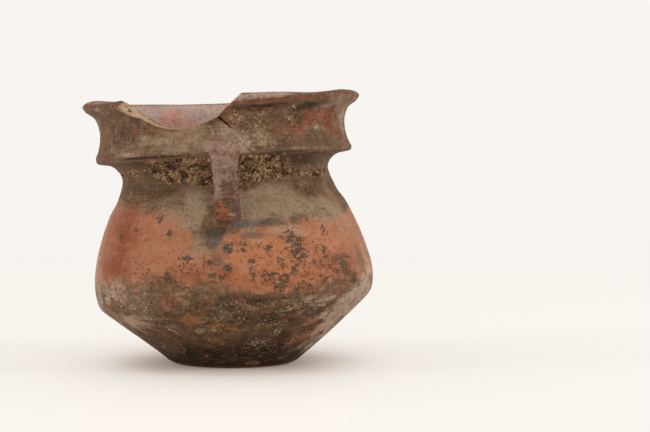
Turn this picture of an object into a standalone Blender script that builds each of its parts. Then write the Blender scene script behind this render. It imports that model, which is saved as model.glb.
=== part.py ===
"""A small hand-built pottery olla: flat foot, sharp belly, narrow neck, projecting ridge and everted rim.

The pot is one fired piece of clay. Its rings are round, but it was built by hand, so the centre of each
ring wanders sideways and its plane tilts. A strap handle runs from the ridge down to the shoulder, and a
scoop of the rim is broken away above it. Metres, +Z up, origin at the centre of the foot's underside, the
handle and the break facing -Y.
"""

import math

import bmesh
import bpy
from mathutils import Vector

# The outer wall, ring by ring from the ground up: each ring's radius and its rise above the ring below
FOOT_RADIUS = 0.0215
FOOT_EDGE_RADIUS = 0.0249
FOOT_EDGE_RISE = 0.0011
HEEL_RADIUS = 0.0279
HEEL_RISE = 0.0023
CONE_RADIUS = 0.0487
CONE_RISE = 0.0173
CARINATION_RADIUS = 0.0523
CARINATION_RISE = 0.0040
BELLY_RADIUS = 0.0536
BELLY_RISE = 0.0072
SHOULDER_RADIUS = 0.0518
SHOULDER_RISE = 0.0111
HANDLE_RING_RADIUS = 0.0460
HANDLE_RING_RISE = 0.0154
THROAT_RADIUS = 0.0420
THROAT_RISE = 0.0068
NECK_RADIUS = 0.0398
NECK_RISE = 0.0080
UNDERCUT_RADIUS = 0.0429
UNDERCUT_RISE = 0.0039
RIDGE_EDGE_RADIUS = 0.0488
RIDGE_EDGE_RISE = 0.0015
RIDGE_RADIUS = 0.0494
RIDGE_RISE = 0.0021
RIDGE_TOP_RADIUS = 0.0482
RIDGE_TOP_RISE = 0.0029
COLLAR_RADIUS = 0.0473
COLLAR_RISE = 0.0062
FLARE_RADIUS = 0.0488
FLARE_RISE = 0.0051
LIP_EDGE_RADIUS = 0.0514
LIP_EDGE_RISE = 0.0026
LIP_RADIUS = 0.0533
LIP_RISE = 0.0019
LIP_SHOULDER_RADIUS = 0.0519
LIP_SHOULDER_RISE = 0.0017
LIP_CREST_RADIUS = 0.0485
LIP_CREST_RISE = 0.0008

# The clay's thickness along the wall, at the floor, and behind the ridge
WALL = 0.0050
FLOOR_THICKNESS = 0.0060
RIDGE_THICKNESS = 0.0080

# How the rings lean: sideways shift of their centres, and tilt of their planes in degrees
CARINATION_SHIFT = 0.0012
SHOULDER_SHIFT = -0.0004
NECK_SHIFT = -0.0029
RIDGE_SHIFT = -0.0033
LIP_SHIFT = -0.0044
CARINATION_TILT = 4.0
SHOULDER_TILT = 3.2
NECK_TILT = 4.0
RIDGE_TILT = 3.0
LIP_TILT = 2.7
RIM_SAG = 0.0005

# The strap handle: its section, how far its middle stands out past the ridge, and how it widens at its ends
HANDLE_WIDTH = 0.0092
HANDLE_THICKNESS = 0.0056
HANDLE_PROUD = 0.0010
HANDLE_TOP_WIDTH = 0.0128
HANDLE_FOOT_WIDTH = 0.0108
HANDLE_FOOT_DROP = 0.0026
HANDLE_TOP_SIDE = -0.0006
HANDLE_FOOT_SIDE = 0.0008

# The break in the rim: where it starts and ends round the pot, in degrees from the front, and its depth
BREAK_LEFT = -44.5
BREAK_RIGHT = 12.0
BREAK_DEPTH = 0.0121
# Its outline, as shares of the width from left to right and of the depth below the rim's crest
BREAK_SHAPE = (
    (0.00, -0.05),
    (0.03, 0.34),
    (0.09, 0.51),
    (0.18, 0.64),
    (0.34, 0.91),
    (0.50, 1.00),
    (0.63, 0.92),
    (0.80, 0.69),
    (0.87, 0.44),
    (0.94, 0.20),
    (1.00, -0.05),
)

# How finely the form is cut into faces
SEGMENTS = 68
OUTER_STEP = 0.0048
INNER_STEP = 0.0068
BREAK_STEPS = 34
HANDLE_STEPS = 14
HANDLE_ROUNDNESS = 4
MERGE_DISTANCE = 0.00002
SHARP_ANGLE = 28.0

# Clay with a worn red slip
CLAY_COLOUR = (0.33, 0.17, 0.11, 1.0)
CLAY_ROUGHNESS = 0.5


def outer_rings():
    """(radius, height) of each ring of the outer wall, from the foot's edge to the crest of the lip."""
    sizes = (
        (FOOT_RADIUS, 0.0),
        (FOOT_EDGE_RADIUS, FOOT_EDGE_RISE),
        (HEEL_RADIUS, HEEL_RISE),
        (CONE_RADIUS, CONE_RISE),
        (CARINATION_RADIUS, CARINATION_RISE),
        (BELLY_RADIUS, BELLY_RISE),
        (SHOULDER_RADIUS, SHOULDER_RISE),
        (HANDLE_RING_RADIUS, HANDLE_RING_RISE),
        (THROAT_RADIUS, THROAT_RISE),
        (NECK_RADIUS, NECK_RISE),
        (UNDERCUT_RADIUS, UNDERCUT_RISE),
        (RIDGE_EDGE_RADIUS, RIDGE_EDGE_RISE),
        (RIDGE_RADIUS, RIDGE_RISE),
        (RIDGE_TOP_RADIUS, RIDGE_TOP_RISE),
        (COLLAR_RADIUS, COLLAR_RISE),
        (FLARE_RADIUS, FLARE_RISE),
        (LIP_EDGE_RADIUS, LIP_EDGE_RISE),
        (LIP_RADIUS, LIP_RISE),
        (LIP_SHOULDER_RADIUS, LIP_SHOULDER_RISE),
        (LIP_CREST_RADIUS, LIP_CREST_RISE),
    )
    height = 0.0
    rings = []
    for radius, rise in sizes:
        height += rise
        rings.append(Vector((radius, height)))
    return rings


OUTER = outer_rings()
FOOT, FOOT_EDGE, HEEL, CONE, CARINATION, BELLY, SHOULDER, HANDLE_RING, THROAT, NECK = OUTER[:10]
UNDERCUT, RIDGE_EDGE, RIDGE, RIDGE_TOP, COLLAR, FLARE, LIP_EDGE, LIP, LIP_SHOULDER, LIP_CREST = OUTER[10:]


def inward(before, ring, after, thickness):
    """The point that lies this thickness inside a ring of the outer wall, square to the wall there."""
    along = (after - before).normalized()
    return ring + Vector((-along.y, along.x)) * thickness


def inner_rings():
    """(radius, height) of the inner wall from the lip down to the floor, smooth behind the ridge."""
    behind_ridge = RIDGE_TOP - Vector((RIDGE_THICKNESS, 0.0))
    return [
        inward(COLLAR, FLARE, LIP_EDGE, WALL),
        inward(RIDGE_TOP, COLLAR, FLARE, WALL),
        behind_ridge,
        inward(THROAT, NECK, RIDGE_TOP, WALL),
        inward(HANDLE_RING, THROAT, NECK, WALL),
        inward(SHOULDER, HANDLE_RING, THROAT, WALL),
        inward(BELLY, SHOULDER, HANDLE_RING, WALL),
        inward(CARINATION, BELLY, SHOULDER, WALL),
        inward(CONE, CARINATION, BELLY, WALL),
        inward(HEEL, CONE, CARINATION, WALL),
    ]


def spline(points, step):
    """Points about a step apart on a centripetal Catmull-Rom curve through the given points."""
    ends = [2 * points[0] - points[1], *points, 2 * points[-1] - points[-2]]
    line = []
    for p0, p1, p2, p3 in zip(ends, ends[1:], ends[2:], ends[3:]):
        a, b, c = ((q - p).length ** 0.5 for p, q in ((p0, p1), (p1, p2), (p2, p3)))
        slope1 = (p2 - p1) + b * ((p1 - p0) / a - (p2 - p0) / (a + b))
        slope2 = (p2 - p1) + b * ((p3 - p2) / c - (p3 - p1) / (b + c))
        count = max(1, round((p2 - p1).length / step))
        for i in range(count):
            t = i / count
            line.append(
                (2 * t**3 - 3 * t**2 + 1) * p1
                + (t**3 - 2 * t**2 + t) * slope1
                + (3 * t**2 - 2 * t**3) * p2
                + (t**3 - t**2) * slope2
            )
    return [*line, points[-1]]


def between(value, stations):
    """The value at a height, read straight between (height, value) stations."""
    for (low, first), (high, second) in zip(stations, stations[1:]):
        if value <= high:
            return first + (second - first) * max(0.0, value - low) / (high - low)
    return stations[-1][1]


def shift_at(height):
    """How far the centre of the ring at this height lies to the side."""
    return between(height, (
        (0.0, 0.0),
        (CARINATION.y, CARINATION_SHIFT),
        (SHOULDER.y, SHOULDER_SHIFT),
        (NECK.y, NECK_SHIFT),
        (RIDGE.y, RIDGE_SHIFT),
        (LIP.y, LIP_SHIFT),
    ))


def tilt_at(height):
    """How much the ring at this height tilts, in degrees, up towards +X."""
    return between(height, (
        (0.0, 0.0),
        (FOOT_EDGE.y, 0.0),
        (CARINATION.y, CARINATION_TILT),
        (SHOULDER.y, SHOULDER_TILT),
        (NECK.y, NECK_TILT),
        (RIDGE.y, RIDGE_TILT),
        (LIP.y, LIP_TILT),
    ))


def floor_share(radius, height):
    """How much of the tilt a point takes: none on the level floor inside, all of it on the wall."""
    if height > CARINATION.y or radius > FOOT.x:
        return 1.0
    return (radius / FOOT.x) ** 2


def lean(mesh):
    """Moves each point of an upright mesh to its place on the leaning pot."""
    for vertex in mesh.vertices:
        x, y, height = vertex.co
        rim = max(0.0, min(1.0, (height - RIDGE.y) / (LIP.y - RIDGE.y)))
        sag = RIM_SAG * rim * math.cos(2 * math.atan2(y, x))
        rise = math.tan(math.radians(tilt_at(height))) * x * floor_share(math.hypot(x, y), height)
        vertex.co = (x + shift_at(height), y, height + rise + sag)


def add_object(name, mesh, collection):
    made = bpy.data.objects.new(name, mesh)
    collection.objects.link(made)
    return made


def realised(made):
    """The object as a plain mesh of welded points, in triangles, which stay flat when the pot leans."""
    graph = bpy.context.evaluated_depsgraph_get()
    mesh = bpy.data.meshes.new_from_object(made.evaluated_get(graph))
    shape = bmesh.new()
    shape.from_mesh(mesh)
    bmesh.ops.remove_doubles(shape, verts=shape.verts, dist=MERGE_DISTANCE)
    bmesh.ops.recalc_face_normals(shape, faces=shape.faces)
    bmesh.ops.triangulate(shape, faces=shape.faces)
    shape.to_mesh(mesh)
    shape.free()
    mesh.transform(made.matrix_world)
    bpy.data.objects.remove(made)
    return mesh


def clay_material():
    material = bpy.data.materials.new("fired_clay")
    material.use_nodes = True
    shader = material.node_tree.nodes["Principled BSDF"]
    shader.inputs["Base Color"].default_value = CLAY_COLOUR
    shader.inputs["Roughness"].default_value = CLAY_ROUGHNESS
    shader.inputs["Metallic"].default_value = 0.0
    return material


def turned_wall(collection):
    """The upright wall: an outline from the floor's middle up inside, over the lip and down to the foot."""
    inner = inner_rings()
    outside = spline([*OUTER, inner[0]], OUTER_STEP)[:-1]
    inside = spline([*inner, Vector((FOOT.x, FLOOR_THICKNESS))], INNER_STEP)
    outline = [Vector((0.0, 0.0)), *outside, *inside, Vector((0.0, FLOOR_THICKNESS))][::-1]
    mesh = bpy.data.meshes.new("wall_outline")
    edges = [(i, i + 1) for i in range(len(outline) - 1)]
    mesh.from_pydata([(p.x, 0.0, p.y) for p in outline], edges, [])
    made = add_object("wall_outline", mesh, collection)
    turn = made.modifiers.new("turn", "SCREW")
    turn.steps = turn.render_steps = SEGMENTS
    turn.use_merge_vertices = True
    turn.merge_threshold = MERGE_DISTANCE
    return realised(made)


def handle_route():
    """(distance from the axis, height) of the handle's middle: out over the ridge, down and in again."""
    half = HANDLE_THICKNESS / 2
    straight = RIDGE.x + HANDLE_PROUD
    foot = HANDLE_RING.y - HANDLE_FOOT_DROP
    return [
        Vector((RIDGE_TOP.x - half, RIDGE_TOP.y)),
        Vector((straight - half / 2, RIDGE.y)),
        Vector((straight, NECK.y)),
        Vector((straight - half / 4, THROAT.y)),
        Vector((HANDLE_RING.x + half, foot + half)),
        Vector((HANDLE_RING.x - WALL / 2, foot - half / 2)),
    ]


def handle_mesh(collection):
    """A strap of flat oval section down the front, set against the lean so that it ends nearly upright."""
    route = handle_route()
    length = sum((b - a).length for a, b in zip(route, route[1:]))
    points = spline(route, length / HANDLE_STEPS)
    curve = bpy.data.curves.new("handle", "CURVE")
    curve.dimensions = "3D"
    curve.bevel_depth = HANDLE_THICKNESS / 2
    curve.bevel_resolution = HANDLE_ROUNDNESS
    curve.use_fill_caps = True
    line = curve.splines.new("POLY")
    line.points.add(len(points) - 1)
    for knot, (distance, height) in zip(line.points, points):
        knot.co = (0.0, -distance, height, 1.0)
    mesh = realised(add_object("handle", curve, collection))
    foot = route[-1].y
    widths = (
        (foot, HANDLE_FOOT_WIDTH),
        (HANDLE_RING.y, HANDLE_WIDTH),
        (NECK.y, HANDLE_WIDTH),
        (RIDGE.y, HANDLE_TOP_WIDTH),
    )
    sides = ((foot, HANDLE_FOOT_SIDE), (RIDGE.y, HANDLE_TOP_SIDE))
    for vertex in mesh.vertices:
        height = vertex.co.z
        vertex.co.x *= between(height, widths) / HANDLE_THICKNESS
        vertex.co.x += between(height, sides) - shift_at(height)
    return mesh


def break_mesh():
    """The lost piece of the rim, as a block on the pot's own curve that is cut out square to the wall."""
    inside = COLLAR.x - 3 * WALL
    outside = LIP.x + 2 * WALL
    above = LIP_CREST.y + BREAK_DEPTH
    share_points = [Vector(p) for p in BREAK_SHAPE]
    shape = bmesh.new()
    loops = []
    for share, depth in spline(share_points, 1.0 / BREAK_STEPS):
        angle = math.radians(BREAK_LEFT + (BREAK_RIGHT - BREAK_LEFT) * share)
        bottom = LIP_CREST.y - BREAK_DEPTH * depth
        corners = ((inside, bottom), (outside, bottom), (outside, above), (inside, above))
        loops.append([shape.verts.new((r * math.sin(angle), -r * math.cos(angle), z)) for r, z in corners])
    for first, second in zip(loops, loops[1:]):
        for i in range(4):
            shape.faces.new((first[i], first[i - 1], second[i - 1], second[i]))
    shape.faces.new(loops[0])
    shape.faces.new(reversed(loops[-1]))
    bmesh.ops.recalc_face_normals(shape, faces=shape.faces)
    bmesh.ops.triangulate(shape, faces=shape.faces)
    mesh = bpy.data.meshes.new("rim_break")
    shape.to_mesh(mesh)
    shape.free()
    return mesh


def combine(pot, name, mesh, operation, tools):
    """Joins a shape to the pot, or cuts it out of the pot."""
    tool = add_object(name, mesh, tools)
    tool.hide_render = True
    tool.display_type = "WIRE"
    modifier = pot.modifiers.new(name, "BOOLEAN")
    modifier.operation = operation
    modifier.solver = "EXACT"
    modifier.object = tool


def make_olla():
    """The pot: the leaning wall with its handle joined on and the break cut out of its rim."""
    parts = bpy.data.collections.new("olla")
    tools = bpy.data.collections.new("olla_tools")
    for collection in (parts, tools):
        bpy.context.scene.collection.children.link(collection)
    wall = turned_wall(tools)
    handle = handle_mesh(tools)
    lost = break_mesh()
    for mesh in (wall, handle, lost):
        lean(mesh)
        mesh.shade_smooth()
        mesh.set_sharp_from_angle(angle=math.radians(SHARP_ANGLE))
    wall.materials.append(clay_material())
    pot = add_object("olla", wall, parts)
    combine(pot, "handle", handle, "UNION", tools)
    combine(pot, "rim_break", lost, "DIFFERENCE", tools)


for old in list(bpy.data.objects):
    bpy.data.objects.remove(old)
make_olla()
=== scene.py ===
# %% [markdown]
# # A small pottery olla
# This lesson dresses a plain solid model of a small hand-built cooking pot. The solid comes from the
# frame, at its real size. Everything made here stands exactly where that solid stands.
#
# The frame is loaded first, because each later step is measured against it. The box of the solid is kept,
# so that the last cell can set the box of the dressed pot beside it.

# %% Load the frame
import math

import bpy
import numpy as np
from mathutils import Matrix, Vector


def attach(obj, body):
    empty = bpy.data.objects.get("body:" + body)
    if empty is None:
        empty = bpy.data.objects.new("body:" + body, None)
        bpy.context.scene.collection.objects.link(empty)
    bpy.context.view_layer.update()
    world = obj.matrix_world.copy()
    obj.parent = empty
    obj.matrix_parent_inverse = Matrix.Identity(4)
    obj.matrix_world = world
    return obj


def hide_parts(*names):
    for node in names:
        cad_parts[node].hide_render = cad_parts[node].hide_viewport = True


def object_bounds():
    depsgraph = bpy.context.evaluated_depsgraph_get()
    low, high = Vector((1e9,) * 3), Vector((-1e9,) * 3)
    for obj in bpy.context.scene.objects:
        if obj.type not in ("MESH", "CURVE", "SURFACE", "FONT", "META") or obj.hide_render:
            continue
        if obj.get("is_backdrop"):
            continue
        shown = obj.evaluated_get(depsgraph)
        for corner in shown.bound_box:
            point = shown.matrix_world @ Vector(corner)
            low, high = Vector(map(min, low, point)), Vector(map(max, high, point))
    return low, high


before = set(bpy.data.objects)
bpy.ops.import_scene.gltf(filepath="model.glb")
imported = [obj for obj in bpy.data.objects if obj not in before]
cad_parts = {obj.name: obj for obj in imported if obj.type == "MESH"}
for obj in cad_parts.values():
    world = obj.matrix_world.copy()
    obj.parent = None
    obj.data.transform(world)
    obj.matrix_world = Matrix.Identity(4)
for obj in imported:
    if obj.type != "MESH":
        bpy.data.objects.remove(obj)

CAD_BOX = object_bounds()
MM = 0.001
print("solid box, mm", [[round(v / MM, 2) for v in corner] for corner in CAD_BOX])

# %% [markdown]
# ## The camera
# The pot was seen nearly level with its ridge, from about seven times its own height away and a little to
# its right. A long lens at that distance shows the rings as thin ellipses. The camera comes first, so that
# every later step can be looked at through it.

# %% Camera
CAMERA_PLACE = (35.44 * MM, -700.0 * MM, 77.69 * MM)
CAMERA_PITCH = 1.762
CAMERA_LENS = 100.8
SENSOR_WIDTH = 36.0

camera_data = bpy.data.cameras.new("camera")
camera_data.lens = CAMERA_LENS
camera_data.sensor_width = SENSOR_WIDTH
camera = bpy.data.objects.new("camera", camera_data)
camera.location = CAMERA_PLACE
camera.rotation_euler = (math.radians(90.0 - CAMERA_PITCH), 0.0, 0.0)
bpy.context.scene.collection.objects.link(camera)
bpy.context.scene.camera = camera
print("camera at", camera.location[:], "lens", CAMERA_LENS)

# %% [markdown]
# ## The outline of the wall
# A potter coils and scrapes a pot like this by hand, yet its section is much the same all round. So the
# wall is one outline that is carried round the pot: a flat foot, a straight cone, a sharp turn, a round
# belly, a narrow neck, a ridge, a collar and a flared lip. The outline could be a chain of arcs. A smooth
# curve through a few measured rings is simpler, and it keeps the small turns of the ridge and lip sharp,
# because a centripetal Catmull-Rom curve makes no loops where its points are close together.

# %% Rings of the wall
# radius and height of each outer ring in millimetres, from the foot to the crest of the lip
RINGS = {
    "foot": (21.5, 0.0), "foot edge": (24.9, 1.1), "heel": (27.9, 3.4), "cone": (48.7, 20.7),
    "carination": (52.3, 24.7), "belly": (53.6, 31.9), "shoulder": (51.8, 43.0),
    "handle ring": (46.0, 58.4), "throat": (42.0, 65.2), "neck": (39.8, 73.2),
    "undercut": (42.9, 77.1), "ridge edge": (48.8, 78.6), "ridge": (49.4, 80.7),
    "ridge top": (48.2, 83.6), "collar": (47.3, 89.8), "flare": (48.8, 94.9),
    "lip edge": (52.1, 97.5), "lip": (53.3, 99.4), "lip shoulder": (52.3, 101.0),
    "lip crest": (48.5, 101.9),
}
OUTER = {name: np.array(place) * MM for name, place in RINGS.items()}
WALL = 5.0 * MM
FLOOR_THICKNESS = 6.0 * MM
RIDGE_THICKNESS = 8.0 * MM


def inward(before, ring, after):
    """The point one wall inside a ring, square to the line from the ring before it to the one after."""
    along = OUTER[after] - OUTER[before]
    return OUTER[ring] + np.array([-along[1], along[0]]) / np.linalg.norm(along) * WALL


INNER = np.array([
    inward("collar", "flare", "lip edge"),
    inward("ridge top", "collar", "flare"),
    OUTER["ridge top"] - (RIDGE_THICKNESS, 0.0),
    inward("throat", "neck", "ridge top"),
    inward("handle ring", "throat", "neck"),
    inward("shoulder", "handle ring", "throat"),
    inward("belly", "shoulder", "handle ring"),
    inward("carination", "belly", "shoulder"),
    inward("cone", "carination", "belly"),
    inward("heel", "cone", "carination"),
    (OUTER["foot"][0], FLOOR_THICKNESS),
])
print("inner rings, mm", (INNER / MM).round(1).tolist())

# %% [markdown]
# The curve between two rings is a cubic. Its slopes come from the neighbouring rings, weighted by the
# square roots of the distances between them. numpy works out every span at once.

# %% The curve through the rings
PER_SPAN = 12


def spline(points):
    """Centripetal Catmull-Rom curve: a cubic through each pair, with slopes from their neighbours."""
    ends = np.vstack([2 * points[0] - points[1], points, 2 * points[-1] - points[-2]])
    p0, p1, p2, p3 = (ends[i:len(ends) - 3 + i, None] for i in range(4))
    spans = (p1 - p0, p2 - p1, p3 - p2)
    a, b, c = (np.linalg.norm(span, axis=2, keepdims=True) ** 0.5 for span in spans)
    slope1 = (p2 - p1) + b * ((p1 - p0) / a - (p2 - p0) / (a + b))
    slope2 = (p2 - p1) + b * ((p3 - p2) / c - (p3 - p1) / (b + c))
    t = np.linspace(0.0, 1.0, PER_SPAN, endpoint=False)[None, :, None]
    curve = ((2 * t**3 - 3 * t**2 + 1) * p1 + (t**3 - 2 * t**2 + t) * slope1
             + (3 * t**2 - 2 * t**3) * p2 + (t**3 - t**2) * slope2)
    return np.vstack([curve.reshape(-1, points.shape[1]), points[-1:]])


def arc_lengths(line):
    """How far along a line each of its points lies."""
    return np.concatenate([[0.0], np.cumsum(np.linalg.norm(np.diff(line, axis=0), axis=1))])


OUTLINE = np.vstack([(0.0, 0.0), spline(np.vstack([*OUTER.values(), *INNER])), (0.0, FLOOR_THICKNESS)])
ARC = arc_lengths(OUTLINE)
ARC_AT = {name: ARC[1 + i * PER_SPAN] for i, name in enumerate(OUTER)}
ARC_INSIDE = ARC[1 + len(OUTER) * PER_SPAN]
print("outline of", len(OUTLINE), "points,", round(ARC[-1] / MM), "mm long from the foot to the floor")

# %% [markdown]
# ## How the pot leans
# No ring of the real pot lies quite level or quite over the foot. The body bulges to one side, the neck
# slips back to the other and the rim tips. A turned shape can't do that, so each ring is worked out
# upright first. Then it is shifted sideways and tilted by amounts that depend only on its height.

# %% Shift and tilt of the rings
# ring, sideways shift of its centre in millimetres
SHIFTS = {"foot": 0.0, "carination": 1.2, "shoulder": -0.4, "neck": -2.9, "ridge": -3.3, "lip": -4.4}
# ring, tilt of its plane in degrees, up towards +X
TILTS = {
    "foot": 0.0, "foot edge": 0.0, "carination": 4.0, "shoulder": 3.2, "neck": 4.0, "ridge": 3.0,
    "lip": 2.7,
}


def by_height(height, stated):
    """A value read straight between the rings that state it."""
    return np.interp(height, [OUTER[ring][1] for ring in stated], list(stated.values()))


def shift_at(height):
    """Sideways place of the centre of the ring at this height."""
    return by_height(height, SHIFTS) * MM


def slope_at(height):
    """How much the ring at this height rises towards +X: the tangent of its tilt."""
    return np.tan(np.radians(by_height(height, TILTS)))


lip_level = OUTER["lip"][1]
print("the lip stands", round(shift_at(lip_level) / MM, 1), "mm aside and rises",
      round(100 * slope_at(lip_level), 1), "in 100")

# %% [markdown]
# The rim isn't flat either. It sags a little at its front and back, which a cosine of twice the angle
# gives. Its crest is worn down in two soft hollows, one at the left end of the break and one on the right
# side of the rim.

# %% Sag and wear of the rim
RIM_SAG = 0.5 * MM
CREST_WEAR = 0.9 * MM
# middle and width of each worn stretch, in degrees
WORN_STRETCHES = ((-48.0, 11.0), (47.0, 16.0))


def hollow(angle, middle, width):
    """A smooth dip round one angle: e to the power of minus ((angle - middle) / width) squared."""
    return np.exp(-((np.degrees(angle) - middle) / width) ** 2)


def sag_at(angle, height):
    """The rim's rise at its sides and drop at its front and back, less the wear of its crest.

    sag = -rim share * RIM_SAG * cosine of twice the angle - crest share * CREST_WEAR * the hollows.
    """
    ridge, lip, crest = (OUTER[ring][1] for ring in ("ridge", "lip", "lip crest"))
    on_rim = np.clip((height - ridge) / (lip - ridge), 0.0, 1.0)
    on_crest = np.clip((height - lip) / (crest - lip), 0.0, 1.0)
    worn = sum(hollow(angle, *stretch) for stretch in WORN_STRETCHES)
    return -RIM_SAG * on_rim * np.cos(2.0 * angle) - CREST_WEAR * on_crest * worn


front, side = (sag_at(np.radians(turn), lip_level) for turn in (0.0, 90.0))
print("the rim's side lies", round((side - front) / MM, 2), "mm above its front")

# %% [markdown]
# Two functions go between the upright pot and the leaning one. The wall, the handle and the soil all go
# through lean. The other one, upright, finds the way back by repeating its sum until it settles. Later
# steps ask it which ring a point of the finished mesh belongs to.

# %% Lean and back
ROUNDS_BACK = 6


def lean(radius, angle, height):
    """Places upright ring points on the leaning pot. The angle is 0 at the front and grows towards +X.

    x = radius * sin(angle) + shift, y = -radius * cos(angle), z = height + slope * sideways + sag.
    Near the axis the inner floor takes only part of the slope, so that it stays one smooth surface.
    """
    sideways = radius * np.sin(angle)
    foot = OUTER["foot"][0]
    on_floor = (height < OUTER["carination"][1]) & (radius < foot)
    share = np.where(on_floor, (radius / foot) ** 2, 1.0)
    x = sideways + shift_at(height)
    z = height + slope_at(height) * sideways * share + sag_at(angle, height)
    return np.stack([x, -radius * np.cos(angle), z], axis=-1)


def upright(points):
    """The reverse of lean for points on the wall: radius, angle and height on the upright pot.

    The height is found by repeating height = z - slope(height) * sideways - sag until it settles.
    """
    x, y, z = np.moveaxis(points, -1, 0)
    height = z
    for _ in range(ROUNDS_BACK):
        sideways = x - shift_at(height)
        angle = np.arctan2(sideways, -y)
        height = z - slope_at(height) * sideways - sag_at(angle, height)
    return np.hypot(sideways, y), angle, height


probe = np.array([50.0 * MM]), np.array([0.7]), np.array([80.0 * MM])
print("lean and back:", [v.round(6).tolist() for v in upright(lean(*probe))])

# %% [markdown]
# ## The broken rim
# A piece of the rim is lost at the front left. The break runs nearly straight down through the lip, then
# in a long bowl under it, and climbs again at the right. The wall broke at a slant: its outer edge lies
# lower than its inner edge, most of all at the left corner, so the pale clay inside shows from the front.
#
# A Boolean cut would leave long thin faces there. The grid of the wall is folded over the break instead:
# its rows climb the outside, cross the fracture and go down the inside, as they cross the whole lip
# elsewhere.

# %% Line of the break
BREAK_LEFT = -44.5
BREAK_RIGHT = 12.0
BREAK_DEPTH = 12.1 * MM
# share of the way across, share of the depth
BREAK_SHAPE = np.array([
    (-0.02, -0.55), (0.0, -0.05), (0.03, 0.34), (0.09, 0.51), (0.18, 0.64), (0.34, 0.91), (0.5, 1.0),
    (0.63, 0.92), (0.8, 0.69), (0.87, 0.44), (0.94, 0.2), (1.0, -0.05), (1.02, -0.55),
])
# share of the way across, how much higher the inner edge is than the outer one, in millimetres
BREAK_SLANT = np.array([
    (0.0, 1.6), (0.03, 4.0), (0.07, 4.4), (0.1, 2.2), (0.125, 0.95), (0.2, 0.65), (0.4, 0.45), (0.6, 0.3),
    (1.0, 0.35),
])
CREST = OUTER["lip crest"][1]
break_curve = spline(BREAK_SHAPE)


def break_heights(angle):
    """Upright height of the break's outer and inner edge at an angle: the crest less the stated depth."""
    share = (np.degrees(angle) - BREAK_LEFT) / (BREAK_RIGHT - BREAK_LEFT)
    outer = CREST - BREAK_DEPTH * np.interp(share, break_curve[:, 0], break_curve[:, 1])
    inner = outer + MM * np.interp(share, BREAK_SLANT[:, 0], BREAK_SLANT[:, 1])
    return outer, inner


lowest = break_heights(np.radians(np.arange(BREAK_LEFT, BREAK_RIGHT)))[0].min()
print("lowest point of the break, mm", round(lowest / MM, 1))

# %% [markdown]
# ## The grid of the wall
# The wall is a grid of columns round the pot and rows along the outline. The crack and the ends of the
# break need a fine grid, but the back doesn't. So the spacing changes with the angle and along the
# outline, and a running total of one over the spacing says where each column and row goes.

# %% Columns
# angle in degrees, spacing of the columns there in degrees
COLUMN_SPACING = np.array([
    (-180, 1.8), (-110, 1.6), (-80, 0.82), (-48, 0.8), (-46, 0.34), (-41, 0.34), (-38, 0.8), (-3, 0.78),
    (-1, 0.4), (14, 0.4), (17, 0.78), (80, 0.82), (110, 1.6), (180, 1.8),
])


def even_steps(stations, samples=4000):
    """Places at the stated spacing: the running total of 1 / spacing, cut into equal shares."""
    place = np.linspace(stations[0, 0], stations[-1, 0], samples)
    gap = np.interp(place, stations[:, 0], stations[:, 1])
    total = np.concatenate([[0.0], np.cumsum(np.diff(place) / (0.5 * (gap[1:] + gap[:-1])))])
    return np.interp(np.linspace(0.0, total[-1], int(total[-1]) + 1), total, place)


ANGLES = np.radians(even_steps(COLUMN_SPACING)[:-1])
print(len(ANGLES), "columns, the closest", round(COLUMN_SPACING[:, 1].min(), 2), "degrees apart")

# %% [markdown]
# The rows are spaced in the same way, along the outline instead of round the pot. They lie closest at the
# ridge, and far apart under the foot and inside the belly, which are hardly seen. Outside and inside they
# stop just below the break.

# %% Rows
# where the plain rows stop, and how far down the inside that height is looked for
BREAK_BASE = 86.5 * MM
INSIDE_SEARCH = 20 * MM


def arc_at_height(height, first, last):
    """Where the outline reaches a height between two places along it."""
    span = (ARC >= first) & (ARC <= last)
    order = np.argsort(OUTLINE[span, 1])
    return np.interp(height, OUTLINE[span, 1][order], ARC[span][order])


ARC_OUT_BASE = arc_at_height(BREAK_BASE, ARC_AT["ridge top"], ARC_AT["lip shoulder"])
ARC_IN_BASE = arc_at_height(BREAK_BASE, ARC_INSIDE, ARC_INSIDE + INSIDE_SEARCH)
# place along the outline, spacing of the rows there, both in millimetres
OUTSIDE_SPACING = np.array([
    (1.0, 3.5), (ARC_AT["foot"] / MM - 1, 3.0), (ARC_AT["foot"] / MM, 0.85), (ARC_AT["cone"] / MM, 0.85),
    (ARC_AT["carination"] / MM, 0.68), (ARC_AT["handle ring"] / MM, 0.68), (ARC_AT["neck"] / MM, 0.66),
    (ARC_AT["undercut"] / MM, 0.5), (ARC_AT["ridge top"] / MM, 0.5), (ARC_OUT_BASE / MM, 0.6),
])
INSIDE_SPACING = np.array([(ARC_IN_BASE / MM, 1.6), (ARC_IN_BASE / MM + 10, 2.8), (ARC[-1] / MM - 1, 3.4)])
print(len(even_steps(OUTSIDE_SPACING)), "rows outside,", len(even_steps(INSIDE_SPACING)), "inside")

# %% [markdown]
# Between those rows the grid follows the break. For each column the place where the outside meets the
# break is worked out, and the place where the inside meets it. Some rows lead up to the one, some cross
# the fracture in a straight line from edge to edge, and some lead down from the other. Where nothing is
# lost the line is too high to matter, and the lip keeps its own round shape.

# %% Grid over the lip and the break
ROWS_UP = 22
ROWS_ACROSS = 15
ROWS_DOWN = 8


def outline_at(arc):
    """Radius and height of the outline at places along it."""
    return np.interp(arc, ARC, OUTLINE[:, 0]), np.interp(arc, ARC, OUTLINE[:, 1])


def lip_height(radius):
    """Height of the whole lip's upper surface at a radius."""
    top = (ARC >= ARC_AT["lip"]) & (ARC <= ARC_IN_BASE)
    order = np.argsort(OUTLINE[top, 0])
    return np.interp(radius, OUTLINE[top, 0][order], OUTLINE[top, 1][order])


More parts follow.
